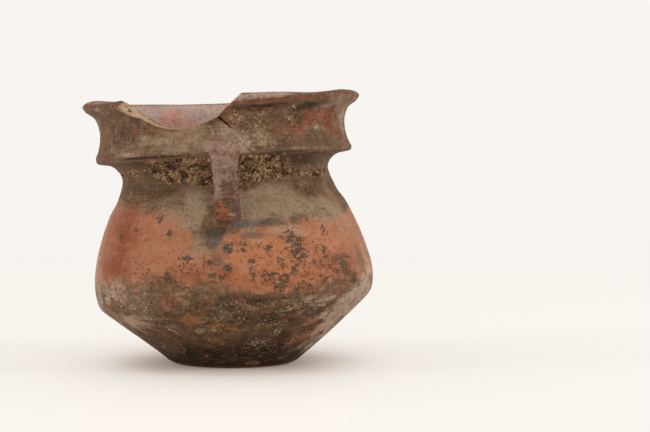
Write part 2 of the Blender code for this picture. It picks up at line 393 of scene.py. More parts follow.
def wall_grid():
    """Upright radius and height of every row and column of the wall, from the foot to the floor inside."""
    cut_out, cut_in = break_heights(ANGLES)
    out_edge = np.minimum(ARC_AT["lip shoulder"],
                          arc_at_height(cut_out, ARC_OUT_BASE, ARC_AT["lip shoulder"]))
    in_edge = arc_at_height(np.minimum(cut_in, INNER[0, 1]), ARC_INSIDE, ARC_IN_BASE)
    up = np.linspace(0.0, 1.0, ROWS_UP + 1)[1:, None]
    across = 0.5 - 0.5 * np.cos(np.linspace(0.0, np.pi, ROWS_ACROSS + 2))[1:-1, None]
    down = np.linspace(0.0, 1.0, ROWS_DOWN + 1)[:-1, None]
    whole = np.ones_like(ANGLES)
    below = outline_at(even_steps(OUTSIDE_SPACING)[:, None] * MM * whole)
    rising = outline_at(ARC_OUT_BASE + (out_edge - ARC_OUT_BASE) * up)
    radius = outline_at(out_edge)[0] * (1 - across) + outline_at(in_edge)[0] * across
    crossing = radius, np.minimum(lip_height(radius), cut_out * (1 - across) + cut_in * across)
    falling = outline_at(in_edge + (ARC_IN_BASE - in_edge) * down)
    inside = outline_at(even_steps(INSIDE_SPACING)[:, None] * MM * whole)
    parts = [below, rising, crossing, falling, inside]
    return np.vstack([part[0] for part in parts]), np.vstack([part[1] for part in parts])


GRID_RADIUS, GRID_HEIGHT = wall_grid()
GRID = lean(GRID_RADIUS, ANGLES, GRID_HEIGHT)
print("grid of", GRID.shape[0], "rows and", GRID.shape[1], "columns, about",
      2 * GRID.shape[0] * GRID.shape[1], "triangles")

# %% [markdown]
# ## Noise
# Fired clay is uneven at every scale. Repeatable noise gives that without any picture: each corner of an
# unseen lattice gets a number that depends only on its place, and the numbers are blended smoothly in
# between. Layers of ever finer noise are added together. numpy works them out for every point at once.

# %% Smooth noise
def scatter(corner, salt):
    """A repeatable number from 0 to 1 for each lattice corner, by mixing the bits of its three numbers."""
    x, y, z = np.moveaxis(corner.astype(np.int64), -1, 0)
    bits = (x * 374761393 + y * 668265263 + z * 1440662683 + salt * 974634777) & 0xFFFFFFFF
    bits = ((bits ^ (bits >> 13)) * 1274126177) & 0xFFFFFFFF
    return ((bits ^ (bits >> 16)) & 0xFFFFFF) / float(0xFFFFFF)


def noise(points, size, salt=0):
    """Smooth noise from 0 to 1: the eight corner numbers around a point, blended by 3 t^2 - 2 t^3."""
    place = points / size
    corner = np.floor(place)
    t = place - corner
    t = t * t * (3.0 - 2.0 * t)
    total = 0.0
    for shift in np.ndindex(2, 2, 2):
        weight = np.prod(np.where(shift, t, 1.0 - t), axis=-1)
        total = total + weight * scatter(corner + shift, salt)
    return total


def rough(points, size, salt=0, layers=4, fade=0.55):
    """Noise of ever finer size added together, each layer half the size and fainter, from 0 to 1."""
    strengths = fade ** np.arange(layers)
    total = sum(strength * noise(points, size / 2.03**i, salt + i) for i, strength in enumerate(strengths))
    return total / strengths.sum()


sample = rough(GRID[::9, ::9], 10 * MM)
print("noise from", sample.min().round(2), "to", sample.max().round(2), "mean", sample.mean().round(2))

# %% [markdown]
# Cell noise measures the distance to scattered points instead, one in each cell of the lattice. Small
# distances make round spots, which serve as pits and as grains of soil. A soft step turns any measure into
# a share from 0 to 1, so that nothing begins with a hard edge.

# %% Grains and soft steps
def grains(points, size, salt=0):
    """Distance to the nearest of the scattered points, one in each lattice cell, in cell sizes."""
    place = points / size
    corner = np.floor(place)
    nearest = np.full(points.shape[:-1], 9.0)
    for shift in np.ndindex(3, 3, 3):
        cell = corner + np.array(shift) - 1
        seed = cell + np.stack([scatter(cell, salt + k) for k in range(3)], axis=-1)
        nearest = np.minimum(nearest, np.linalg.norm(seed - place, axis=-1))
    return nearest


def ramp(value, low, high):
    """0 at low, 1 at high and a smooth S between them: 3 t^2 - 2 t^3."""
    t = np.clip((value - low) / (high - low), 0.0, 1.0)
    return t * t * (3.0 - 2.0 * t)


sample = grains(GRID[::9, ::9], 10 * MM)
print("nearest grain", sample.mean().round(2), "cells away on average")

# %% [markdown]
# ## The crack
# A crack starts in the right half of the break and runs down to the right, past the top of the handle, as
# far as the ridge. It gapes at its start and closes to a hair below. Cutting it out would need a Boolean.
# The grid is fine enough here to be pressed in instead, so the crack is a share at each point: 1 on its
# line and 0 a little beside it.

# %% Crack
# angle in degrees, height and half the width of the crack, both in millimetres
CRACK = np.array([
    (1.7, 93.3, 0.26), (3.6, 91.8, 0.22), (5.4, 90.4, 0.14), (8.6, 87.0, 0.13), (11.2, 83.8, 0.12),
    (14.0, 80.2, 0.1),
])
CRACK_DEPTH = 1.1 * MM
# the crack has faded out at this many times its half width
CRACK_EDGE = 2.2


def crack_share(angle, height, widened=1.0):
    """1 in the crack and 0 beside it: distance to the nearest stretch of its line, against its width."""
    across = angle * OUTER["collar"][0]
    line = np.radians(CRACK[:, 0]) * OUTER["collar"][0], CRACK[:, 1] * MM
    share = np.zeros_like(angle)
    for i in range(len(CRACK) - 1):
        (x0, x1), (z0, z1) = line[0][i:i + 2], line[1][i:i + 2]
        along = ((across - x0) * (x1 - x0) + (height - z0) * (z1 - z0)) / ((x1 - x0) ** 2 + (z1 - z0) ** 2)
        along = np.clip(along, 0.0, 1.0)
        gap = np.hypot(across - x0 - along * (x1 - x0), height - z0 - along * (z1 - z0))
        width = (CRACK[i, 2] * (1 - along) + CRACK[i + 1, 2] * along) * MM
        share = np.maximum(share, 1.0 - ramp(gap, widened * width, CRACK_EDGE * widened * width))
    return share


outside = np.arange(len(GRID))[:, None] < len(GRID) - len(even_steps(INSIDE_SPACING)) - ROWS_DOWN
in_crack = crack_share(ANGLES + 0 * GRID_HEIGHT, GRID_HEIGHT) * outside
print("points of the grid in the crack:", int((in_crack > 0.5).sum()))

# %% [markdown]
# ## Relief of the wall
# The surface is moved along its own direction, square to the grid. Wide soft dents come from the fingers
# that built it, and long level scratches from the scraper. Small pits are where grit fell out. Everything
# moves the clay inwards rather than outwards, so that the pot stays inside the solid's box. The foot's
# lowest edge is left alone, because the pot stands on it.

# %% Relief
DENT_DEPTH, DENT_SIZE = 0.55 * MM, 22 * MM
MARK_DEPTH, MARK_SIZE = 0.16 * MM, 1.3 * MM
PIT_DEPTH, PIT_SPACING = 0.28 * MM, 3.4 * MM
# the scraper's marks are this many times longer round the pot than they are high
MARK_LENGTH = 9.0


def grid_normals(points):
    """Direction square to the grid, outwards: the step to the next column crossed with the next row."""
    around = np.roll(points, -1, axis=1) - np.roll(points, 1, axis=1)
    along = np.gradient(points, axis=0)
    normal = np.cross(around, along)
    return normal / np.maximum(np.linalg.norm(normal, axis=-1, keepdims=True), 1e-12)


def wall_relief(points):
    """How far the clay lies inside its plain outline: dents, scraper marks and pits added together."""
    dents = DENT_DEPTH * rough(points, DENT_SIZE, salt=1, layers=2)
    marks = MARK_DEPTH * rough(points / (MARK_LENGTH, MARK_LENGTH, 1.0), MARK_SIZE, salt=5, layers=2)
    pit = 1.0 - ramp(grains(points, PIT_SPACING, salt=9), 0.1, 0.26)
    pitted = ramp(noise(points, 9 * MM, salt=12), 0.45, 0.7)
    return dents + marks + PIT_DEPTH * pit * pitted


relief = wall_relief(GRID) * ramp(GRID_HEIGHT, 0.0, 2.0 * MM)
relief += CRACK_DEPTH * in_crack
WALL_POINTS = GRID - grid_normals(GRID) * relief[..., None]
print("relief up to", round(relief.max() / MM, 2), "mm deep")

# %% [markdown]
# ## From a grid to a mesh
# The grid is closed round its columns, and a fan of triangles closes each end. Each four-sided cell is
# split along its shorter diagonal, which keeps sharp folds clean and gives the next step flat faces.

# %% Mesh helper
def grid_mesh(name, points, ends=None):
    """A closed mesh over a grid of rows and columns, whose columns run round to the right, seen outside.

    With two end points the first and last row each become a fan. Without, the last row meets the first.
    """
    rows, columns = points.shape[:2]
    index = np.arange(rows * columns).reshape(rows, columns)
    if ends is None:
        index = np.vstack([index, index[:1]])
    flat = points.reshape(-1, 3)
    right = np.roll(index, -1, axis=1)
    a, b, c, d = (corner.ravel() for corner in (index[:-1], right[:-1], right[1:], index[1:]))
    short = np.linalg.norm(flat[a] - flat[c], axis=1) <= np.linalg.norm(flat[b] - flat[d], axis=1)
    faces = [
        np.where(short[:, None], np.stack([a, b, c], 1), np.stack([a, b, d], 1)),
        np.where(short[:, None], np.stack([a, c, d], 1), np.stack([b, c, d], 1)),
    ]
    if ends is not None:
        first, last = rows * columns, rows * columns + 1
        flat = np.vstack([flat, *ends])
        faces.append(np.stack([np.full(columns, first), right[0], index[0]], 1))
        faces.append(np.stack([np.full(columns, last), index[-1], right[-1]], 1))
    mesh = bpy.data.meshes.new(name)
    mesh.from_pydata(flat.tolist(), [], np.vstack(faces).tolist())
    return mesh


def add_piece(name, mesh):
    """A new object at the origin that holds the mesh, shaded smooth."""
    mesh.shade_smooth()
    piece = bpy.data.objects.new(name, mesh)
    bpy.context.scene.collection.objects.link(piece)
    return piece


pot = add_piece("olla_clay", grid_mesh("olla_clay", WALL_POINTS, ([0, 0, 0], [0, 0, FLOOR_THICKNESS])))
print("wall of", len(pot.data.vertices), "points and", len(pot.data.polygons), "faces")

# %% [markdown]
# ## The strap handle
# A flat strap of clay runs down the front, from the collar over the ridge to the shoulder, with a narrow
# gap behind it. A curve with a bevel would make an even tube. Here the strap is a flat oval carried along
# a route, and its width changes on the way.
#
# The route comes first. It is tied to the rings that it passes: it leaves the collar, clears the ridge,
# drops straight past the neck and runs into the shoulder.

# %% Route of the strap
HANDLE_THICKNESS = 5.6 * MM
# how far outside the ridge the strap's middle runs, and how far below its ring it meets the shoulder
HANDLE_PROUD = 1.0 * MM
HANDLE_FOOT_DROP = 2.6 * MM
# distance from row to row along the strap
HANDLE_STEP = 0.55 * MM


def handle_route():
    """Distance from the axis and height along the strap's middle: out of the collar, down and in again."""
    half = HANDLE_THICKNESS / 2
    straight = OUTER["ridge"][0] + HANDLE_PROUD
    foot = OUTER["handle ring"][1] - HANDLE_FOOT_DROP
    knots = spline(np.array([
        (OUTER["collar"][0] - 1.5 * half, OUTER["collar"][1]),
        (OUTER["ridge top"][0] - 0.7 * half, OUTER["ridge top"][1] + 0.2 * half),
        (straight - half / 2, OUTER["ridge"][1] - 0.2 * half),
        (straight, OUTER["neck"][1]),
        (straight - half / 4, OUTER["throat"][1]),
        (OUTER["handle ring"][0] + half, foot + half),
        (OUTER["handle ring"][0] - WALL / 2, foot - half / 2),
    ]))
    arc = arc_lengths(knots)
    even = np.linspace(0.0, arc[-1], int(arc[-1] / HANDLE_STEP))
    return np.stack([np.interp(even, arc, knots[:, 0]), np.interp(even, arc, knots[:, 1])], axis=1)


ROUTE = handle_route()
print("strap", round(arc_lengths(ROUTE)[-1] / MM, 1), "mm long, in", len(ROUTE), "rows")

# %% [markdown]
# The section is a flat oval with full shoulders, a shape between an ellipse and a box. Its top fans out
# into the collar, its foot spreads a little on the shoulder, and its middle wanders to the left on the way
# up. The finished surface is worn in the same way as the wall.

# %% Handle
# how square the section is: 2 is an ellipse, more is squarer
HANDLE_SQUARENESS = 2.5
HANDLE_SIDES = 44
# height, full width of the strap and sideways place of its middle, in millimetres
HANDLE_FORM = np.array([
    (54.0, 11.2, 0.8), (58.4, 9.4, 0.7), (66.0, 9.0, 0.3), (73.2, 9.2, -0.2), (77.5, 10.4, -0.4),
    (80.7, 12.8, -0.6), (84.0, 14.4, -0.8), (87.0, 13.0, -1.2), (91.0, 9.0, -1.6),
])


def handle_grid(route):
    """The strap's points, row by row down its route, before the lean: across, out from the axis, and up.

    Around the section, cos and sin of the angle are each raised to 2 / squareness, and then scaled by
    half the width and half the thickness.
    """
    along = np.gradient(route, axis=0)
    along /= np.linalg.norm(along, axis=1, keepdims=True)
    turn = np.linspace(0.0, 2 * np.pi, HANDLE_SIDES, endpoint=False)
    across, out = (np.sign(v) * np.abs(v) ** (2 / HANDLE_SQUARENESS) for v in (np.cos(turn), np.sin(turn)))
    width, side = (np.interp(route[:, 1], HANDLE_FORM[:, 0] * MM, column * MM)[:, None]
                   for column in HANDLE_FORM[:, 1:].T)
    reach = route[:, None, 0] - along[:, None, 1] * out * HANDLE_THICKNESS / 2
    height = route[:, None, 1] + along[:, None, 0] * out * HANDLE_THICKNESS / 2
    return width / 2 * across + side - shift_at(height), reach, height


handle_x, handle_reach, handle_height = handle_grid(ROUTE)
HANDLE = lean(np.hypot(handle_x, handle_reach), np.arctan2(handle_x, handle_reach), handle_height)
worn = 0.3 * MM * rough(HANDLE, 6 * MM, salt=21, layers=3) + 0.12 * MM * rough(HANDLE, 1.2 * MM, salt=25)
HANDLE = HANDLE - grid_normals(HANDLE) * worn[..., None]
handle = add_piece("handle", grid_mesh("handle", HANDLE, (HANDLE[0].mean(0), HANDLE[-1].mean(0))))
print("handle of", len(handle.data.polygons), "faces,", round(np.ptp(HANDLE[..., 2]) / MM, 1), "mm tall")

# %% [markdown]
# The pot is one fired piece, so a Boolean joins the strap to the wall, and the strap's own object goes.
# Both meshes are closed, which is what the Manifold solver asks for. It is quick, and its result is closed
# as well.

# %% Join the handle
def places(piece):
    """The points of a piece's mesh as one array."""
    flat = np.empty(len(piece.data.vertices) * 3, dtype=np.float32)
    piece.data.vertices.foreach_get("co", flat)
    return flat.reshape(-1, 3).astype(float)


def apply_modifiers(piece):
    """Puts the result of a piece's modifiers into its mesh."""
    graph = bpy.context.evaluated_depsgraph_get()
    mesh = bpy.data.meshes.new_from_object(piece.evaluated_get(graph))
    piece.modifiers.clear()
    piece.data = mesh


union = pot.modifiers.new("join", "BOOLEAN")
union.operation = "UNION"
union.solver = "MANIFOLD"
union.object = handle
apply_modifiers(pot)
bpy.data.objects.remove(handle)
print("joined, the pot has", len(pot.data.vertices), "points")

# %% [markdown]
# The next step has to know how far a point lies from the wall, and so do the colours of the strap later.
# The nearest place on each short stretch of the outline is found, and the least of those distances counts.

# %% Distance to the wall
def outer_radius(height):
    """Radius of the plain outer wall at a height, up to the lip."""
    side = (ARC > ARC_AT["foot"]) & (ARC <= ARC_AT["lip crest"])
    return np.interp(height, OUTLINE[side, 1], OUTLINE[side, 0])


def gap_to_wall(radius, height):
    """Distance to the outline of the outer wall from shoulder to flare, less than 0 inside the clay."""
    side = OUTLINE[(ARC > ARC_AT["shoulder"]) & (ARC <= ARC_AT["flare"])]
    place = np.stack([radius, height], axis=-1)[..., None, :]
    start, step = side[:-1], np.diff(side, axis=0)
    along = np.clip(((place - start) * step).sum(-1) / (step**2).sum(-1), 0.0, 1.0)
    gap = np.linalg.norm(place - start - along[..., None] * step, axis=-1).min(-1)
    return np.where(radius > outer_radius(height), gap, -gap)


print("middle of the strap up to", round(gap_to_wall(*ROUTE.T).max() / MM, 1), "mm off the wall")

# %% [markdown]
# The potter smeared the joint with wet clay. A Smooth modifier does the same: its vertex group holds only
# the points near both the strap and the wall, so the sharp crease there becomes a soft hollow. The crack
# is kept out of it.

# %% Smear the joint
SMEAR_REACH = 2.4 * MM
SMEAR_ANGLE = 17.0
SMEAR_REPEATS = 14
# a vertex group takes one weight at a time, so the points are sorted into this many steps of weight
WEIGHT_STEPS = 10

radius, angle, height = upright(places(pot))
near_wall = 1.0 - ramp(np.abs(gap_to_wall(radius, height)), 0.4 * SMEAR_REACH, SMEAR_REACH)
near_strap = 1.0 - ramp(np.abs(np.degrees(angle)), 0.8 * SMEAR_ANGLE, SMEAR_ANGLE)
smeared = near_wall * near_strap * ramp(height, 50 * MM, 53 * MM) * (1 - ramp(height, 90 * MM, 92 * MM))
smeared *= 1.0 - crack_share(angle, height, widened=5.0)
group = pot.vertex_groups.new(name="smeared")
for step in range(1, WEIGHT_STEPS + 1):
    chosen = np.flatnonzero(np.ceil(smeared * WEIGHT_STEPS) == step)
    group.add(chosen.tolist(), step / WEIGHT_STEPS, "REPLACE")
smear = pot.modifiers.new("smear", "SMOOTH")
smear.vertex_group = "smeared"
smear.factor = 0.5
smear.iterations = SMEAR_REPEATS
apply_modifiers(pot)
pot.vertex_groups.clear()
pot.data.shade_smooth()
print("pot of", len(pot.data.vertices), "points,", len(pot.data.polygons), "faces,",
      int((smeared > 0).sum()), "of its points smeared")

# %% [markdown]
# ## Soil in the neck
# The pot was dug up, and the hollow between the shoulder and the ridge still holds caked soil: brown
# grains with dark holes between them. It is surface dirt and no part of the clay, so it is a thin piece
# of its own. Scattering thousands of small stones would do it too, but a sheet with a grainy face is
# lighter and stays closed. Its thickness rises and falls. Where no soil is left it is less than 0, and the
# sheet dives under the clay there, so its torn edge needs no cutting.

# %% Thickness of the soil
# angle in degrees, height of the middle of the band, half its height, thickness, in millimetres
SOIL_BAND = np.array([
    (-180, 74.0, 3.5, -0.3), (-120, 74.5, 3.0, -0.4), (-80, 75.0, 2.6, -0.5), (-50, 75.0, 2.6, -0.5),
    (-39, 75.0, 3.0, -0.2), (-33, 74.8, 3.8, 0.6), (-24, 75.0, 4.4, 0.9), (-12, 74.7, 4.6, 1.2),
    (-5, 74.5, 4.8, 1.3), (8, 74.5, 5.0, 1.3), (25, 74.3, 4.7, 1.1), (33, 73.6, 4.0, 0.8),
    (38, 71.8, 2.6, 0.6), (46, 71.0, 1.8, 0.45), (62, 70.4, 1.5, 0.4), (70, 71.0, 2.0, -0.3),
    (100, 74.0, 3.2, -0.4), (140, 74.5, 3.8, 0.0), (180, 74.0, 3.5, -0.3),
])
# added to the stated thickness everywhere
SOIL_MORE = 0.3 * MM
SOIL_UNEVEN = 3.2 * MM
SOIL_FALL = 1.1 * MM
SOIL_GRAIN = 0.9 * MM


def soil_cover(points, angle, height):
    """Thickness of the soil: the band's own plus noise, less the squared distance from its middle."""
    middle, half, thick = (np.interp(np.degrees(angle), SOIL_BAND[:, 0], column) * MM
                           for column in SOIL_BAND[:, 1:].T)
    off = (height - middle) / half
    uneven = rough(points, 4 * MM, salt=31, layers=4, fade=0.7) - 0.5
    return thick + SOIL_UNEVEN * uneven + SOIL_MORE - SOIL_FALL * off**2


def soil_grain(points):
    """Round grains in two sizes: the top of a ball over each scattered point, and 0 between them."""
    large = np.sqrt(np.clip(1.0 - (grains(points, SOIL_GRAIN, salt=35) / 0.72) ** 2, 0.0, 1.0))
    small = np.sqrt(np.clip(1.0 - (grains(points, SOIL_GRAIN / 2, salt=41) / 0.75) ** 2, 0.0, 1.0))
    return 0.6 * large * ramp(noise(points, 1.8 * MM, salt=44), 0.25, 0.6) + 0.4 * small


print("the soil's band is up to", round(SOIL_BAND[:, 3].max() + SOIL_MORE / MM, 1),
      "mm thick before it is made uneven")

# %% [markdown]
# The sheet's grid runs over the neck, from the shoulder to the ridge. Its outer face gets the thickness
# and the grains, and a second face inside the wall closes it. How high each grain stands is kept on the
# mesh, because the material paints shade into the holes and a highlight on the grain tops by it.

# %% Caked soil
SOIL_LOW = 63.0 * MM
SOIL_ROWS = 56
# angle in degrees, spacing of the columns there in degrees
SOIL_SPACING = np.array([
    (-180, 1.7), (-95, 1.6), (-78, 0.55), (-50, 0.5), (75, 0.5), (90, 1.4), (180, 1.7),
])
SOIL_THINNEST, SOIL_THICKEST = -1.4 * MM, 1.6 * MM
# how high a grain stands, in millimetres, and the thickness over which the grains reach that height
GRAIN_HEIGHT = 0.95
GRAINS_START, GRAINS_FULL = -0.8 * MM, 0.6 * MM
SOIL_SUNK = 0.75 * MM
SOIL_BACK_DEPTH = 2.2 * MM


def soil_grid():
    """The soil's outer face, how high its grains stand, and every ninth row again inside the wall."""
    angle = np.radians(even_steps(SOIL_SPACING)[:-1])
    low = arc_at_height(SOIL_LOW, ARC_AT["shoulder"], ARC_AT["neck"])
    radius, height = outline_at(np.linspace(low, ARC_AT["ridge edge"], SOIL_ROWS)[:, None] + 0 * angle)
    points = lean(radius, angle, height)
    outwards = grid_normals(points)
    cover = soil_cover(points, angle, height)
    grain = soil_grain(points)
    thick = np.clip(cover, SOIL_THINNEST, SOIL_THICKEST)
    thick = thick + ramp(cover, GRAINS_START, GRAINS_FULL) * GRAIN_HEIGHT * MM * grain
    hidden = points - outwards * SOIL_BACK_DEPTH
    return points + outwards * (thick - SOIL_SUNK)[..., None], grain, hidden[::-9]


soil_face, grain, soil_back = soil_grid()
soil = add_piece("caked_soil", grid_mesh("caked_soil", np.vstack([soil_face, soil_back])))
grain_values = np.concatenate([grain.ravel(), np.zeros(soil_back[..., 0].size)]).astype(np.float32)
soil.data.attributes.new("grain", "FLOAT", "POINT").data.foreach_set("value", grain_values)
print("soil of", len(soil.data.polygons), "faces")

# %% [markdown]
# ## Where each colour lies
# Some coats also hold painted shade under the lip and the ridge, or painted sheen at the pot's edges.
# The potter brushed red slip on the pot and rubbed it smooth. Fire, soot, soil and wear then left their
# own marks over it, each with a ragged outline. A texture painted by hand would need a picture. Here each
# mark is a coat instead: a share at every point of the mesh, near 1 where the mark is strong and 0 where
# it is missing. The mesh keeps every share as an attribute, which the material reads later.
#
# Each point needs its place on the upright pot first. Long zones are bounded by lines round the pot, and
# noise shakes those lines.

# %% Places and zones
PLACE = places(pot)
RADIUS, ANGLE, HEIGHT = upright(PLACE)
DEGREES = np.degrees(ANGLE)
LEVEL = HEIGHT / MM
SHAKEN = 4.0 * (rough(PLACE, 7 * MM, salt=51, layers=5, fade=0.65) - 0.5)


def line(*stations):
    """A value all round the pot, read straight between (angle in degrees, value) pairs."""
    return np.interp(DEGREES, *zip(*stations), period=360.0)


def zone(low, high, soft, shake=2.5):
    """1 between two heights, falling to 0 over twice the soft distance, on a shaken line."""
    level = LEVEL + shake * SHAKEN
    return np.minimum(ramp(level, low - soft, low + soft), 1.0 - ramp(level, high - soft, high + soft))


print(f"a zone from 30 to 60 mm takes in {(zone(30, 60, 3) > 0.5).mean():.0%} of the points")

# %% [markdown]
# Spots are ovals on the surface, measured in millimetres along it, and the same noise shakes their
# outline. The coat function then puts a share on the mesh and remembers how the material shall paint it:
# its two colours, its greatest strength, how far grains break its edge up, and how soft that edge is.

# %% Ovals and coats
def ovals(*spots, shake=0.5, soft=0.5):
    """The strongest of some ovals: 1 inside, one half at the edge and 0 outside it, over the soft share.

    A spot is its angle, height, half length across, half length up, strength and, if it lies at a slant,
    its turn anticlockwise in degrees. Distances are counted in its half lengths, so its edge lies at 1.
    """
    share = np.zeros(len(PLACE))
    for middle, level, half, half_up, strength, *slant in spots:
        turn = math.radians(slant[0] if slant else 0.0)
        across = np.radians((DEGREES - middle + 180.0) % 360.0 - 180.0) * outer_radius(HEIGHT) / MM
        along = across * math.cos(turn) + (LEVEL - level) * math.sin(turn)
        up = (LEVEL - level) * math.cos(turn) - across * math.sin(turn)
        size = np.hypot(along / half, up / half_up)
        share = np.maximum(share, strength * (1.0 - ramp(size + shake * SHAKEN, 1.0 - soft, 1.0 + soft)))
    return share


def strongest(*shares):
    """The strongest of several shares at each point."""
    return np.maximum.reduce(shares)


COATS = []


def coat(name, dark, pale, share, most=0.9, spread=0.8, soft=0.3, specks=False):
    """One coat: its share goes to the mesh, and its colours and edge to the list for the material."""
    pot.data.attributes.new(name, "FLOAT", "POINT").data.foreach_set("value", share.astype(np.float32))
    COATS.append((name, dark, pale, most, spread, soft, specks))
    print(f"coat {name}: {(share > 0.5).mean():.1%} of the points")


print("a spot 10 mm across takes in", int((ovals((0, 40, 5, 5, 1)) > 0.5).sum()), "points of the belly")

# %% [markdown]
# The coats need to know which part of the pot a point is on. How deep it lies in the wall tells the
# outside from the inside, and how far it stands off the wall tells the strap of the handle.

# %% Outside, inside and strap
inner_side = (ARC > ARC_INSIDE) & (OUTLINE[:, 1] > FLOOR_THICKNESS)
inner_order = np.argsort(OUTLINE[inner_side, 1])
inner_radius = np.interp(HEIGHT, OUTLINE[inner_side, 1][inner_order], OUTLINE[inner_side, 0][inner_order])
THROUGH = (outer_radius(HEIGHT) - RADIUS) / (outer_radius(HEIGHT) - inner_radius)
OUTSIDE = (1.0 - ramp(THROUGH, 0.5, 0.62)) * ramp(RADIUS, 20 * MM, 22 * MM)
STRAP = ramp(gap_to_wall(RADIUS, HEIGHT), 0.3 * MM, 1.5 * MM) * (np.abs(DEGREES) < 12) * (LEVEL < 88)
STRAP *= 1.0 - ramp(LEVEL, 74.0, 84.0)
WALL_SIDE = OUTSIDE * (1.0 - STRAP)
print("points outside", int((OUTSIDE > 0.5).sum()), "of", len(PLACE),
      "and on the strap", int((STRAP > 0.5).sum()))

# %% [markdown]
# Red slip covers the belly, from the shoulder down to the widest ring, and survives in smaller patches on
# the cone. Its edge is blurred on the left, where dust has settled into it, and crisp on the right.

# %% Red slip
SLIP_LOW = line((-180, 31), (-66, 33.5), (-45, 35), (-32, 36), (-23, 36.5), (-14, 34.5), (-6, 32.5),
                (13, 30.5), (38, 30.5), (46, 32), (60, 31.5), (90, 31))
SLIP_HIGH = line((-180, 59), (-90, 62), (-69, 65), (-40, 63), (-30, 61), (-19, 59), (-15, 55),
                 (-13, 51), (-11, 47), (-5, 45), (-2, 48), (2, 51), (15, 52.5), (26, 55), (56, 55),
                 (75, 56), (110, 57))
BLURRED = line((-180, 3), (-80, 6), (-45, 8), (-20, 5), (-5, 2.5), (10, 1.5), (45, 2.2), (75, 3))

coat("slip", (0.345, 0.138, 0.070), (0.405, 0.182, 0.102), WALL_SIDE * strongest(
    zone(SLIP_LOW, SLIP_HIGH, BLURRED),
    ovals((150, 20, 12, 5, 0.7, 10), (-150, 14, 8, 4, 0.7), (95, 24, 8, 3, 0.7), (-105, 18, 9, 5, 0.7),
          (28, 26, 10, 2.2, 0.5, 8))), most=1.0, spread=0.6, soft=0.3)

# %% [markdown]
# The slip isn't one red. It is deep where it lies thick, orange in the hottest part of the belly and pale
# where it was rubbed thin. Near the left and right edges of the belly the pale blush is painted sheen
# instead. Wide ovals with very soft edges give such slow changes.

# %% Shades of the slip and painted sheen
coat("deep_slip", (0.190, 0.043, 0.014), (0.25, 0.068, 0.025), WALL_SIDE * ovals(
    (-52, 53, 9, 12, 1), (-54, 42, 12, 6, 0.9), (-66, 54, 8, 9, 0.5), (1, 37, 4, 4.5, 0.8),
    (14, 33.5, 9.5, 3, 0.8), (29, 34, 12, 3.5, 0.8), (47, 38, 12, 4.6, 0.8), (29, 54, 6, 1.5, 0.6, -20),
    (-12, 37, 9, 3, 0.6), (120, 45, 22, 14, 0.9), (-130, 40, 26, 12, 0.8), (175, 50, 18, 10, 0.8),
    shake=0.45, soft=0.95), most=1.0, spread=0.6, soft=0.75)
coat("orange_slip", (0.420, 0.148, 0.062), (0.510, 0.215, 0.106), WALL_SIDE * ovals(
    (20, 40, 22, 10, 0.85), (45, 46, 10, 8, 0.6), (-16, 42, 7, 4, 0.5), (-140, 48, 18, 9, 0.6),
    shake=0.35, soft=0.8), most=0.75, spread=0.5, soft=0.5)
coat("blush", (0.36, 0.215, 0.150), (0.46, 0.305, 0.220), WALL_SIDE * ovals(
    # (-84, 46) and (-74, 34) near the belly's left edge and (76, 38) near its right edge: painted sheen
    (-84, 46, 9, 18, 0.95), (-74, 34, 9, 7, 0.6), (22, 51.5, 3, 1.5, 0.55), (13, 48, 2.6, 1.5, 0.5),
    (64, 51, 7, 6, 0.35), (76, 38, 8, 9, 0.35), (170, 38, 14, 5, 0.5), (30, 51, 9, 3.6, 0.6),
    (18, 54, 5, 2, 0.6), (-50, 33, 8, 4, 0.65), shake=0.3, soft=0.8), most=0.75, spread=0.6, soft=0.45)

# %% [markdown]
# Fine dust lies as a dull film on the shoulder and the lower collar, pale on the right and browner on the
# left. The pale patch at the right edge of the collar is painted sheen.

# %% Dust and painted sheen
SHOULDER_LOW = line((-180, 59), (-90, 62), (-66, 66), (-40, 63), (-24, 60), (-16, 56), (-11, 49.5),
                    (-5, 47.5), (0, 50), (15, 53.5), (26, 56), (56, 56), (110, 58))
coat("brown_dust", (0.112, 0.062, 0.034), (0.190, 0.116, 0.064), WALL_SIDE * strongest(
    zone(SHOULDER_LOW, 72.0, BLURRED), ovals(
        (-11, 86, 16, 6, 0.9), (-66, 92, 15, 7, 0.8), (-30, 84, 14, 3, 0.6), (26, 86, 12, 4, 0.8),
        (60, 84, 12, 3.5, 0.8), (67, 36, 4.5, 7, 0.62), (80, 94, 6, 6, 0.7), (-80, 86, 8, 6, 0.7),
        (140, 88, 16, 5, 0.7), (-140, 88, 20, 5, 0.7), (-9, 33.5, 5, 3, 0.75), (-2, 31.5, 5, 3.6, 0.8))),
    most=0.85, spread=0.7, soft=0.4)
coat("pale_dust", (0.252, 0.170, 0.107), (0.318, 0.222, 0.144), WALL_SIDE * ovals(
    (24, 61, 20, 6, 1, -3), (50, 58, 10, 5, 0.8, -10), (12, 58, 6, 6, 0.9), (-13, 61, 5, 8, 0.9, 6),
    (-12, 66, 9, 4, 0.55), (-26, 61, 8, 4, 0.5, -30), (-14, 88, 12, 4.5, 0.8), (-2, 84, 8, 4, 0.7),
    (7, 84.5, 8, 4.5, 1), (-17, 83, 6, 2.5, 0.7), (-42, 82, 9, 2, 0.5), (-11, 47, 4, 4, 0.6),
    (4, 90, 5, 2.5, 0.6), (60, 60, 7, 6, 1.2), (18, 85, 8, 3, 0.7), (-32, 86, 7, 3, 0.55),
    # (74, 92) at the right edge of the collar: painted sheen
    (62, 97, 9, 3, 0.6), (74, 92, 6, 8, 0.7),
    (-62, 22, 12, 7, 0.45, -20), (150, 60, 24, 7, 0.7), shake=0.35, soft=0.6),
    most=0.95, spread=0.6, soft=0.4)
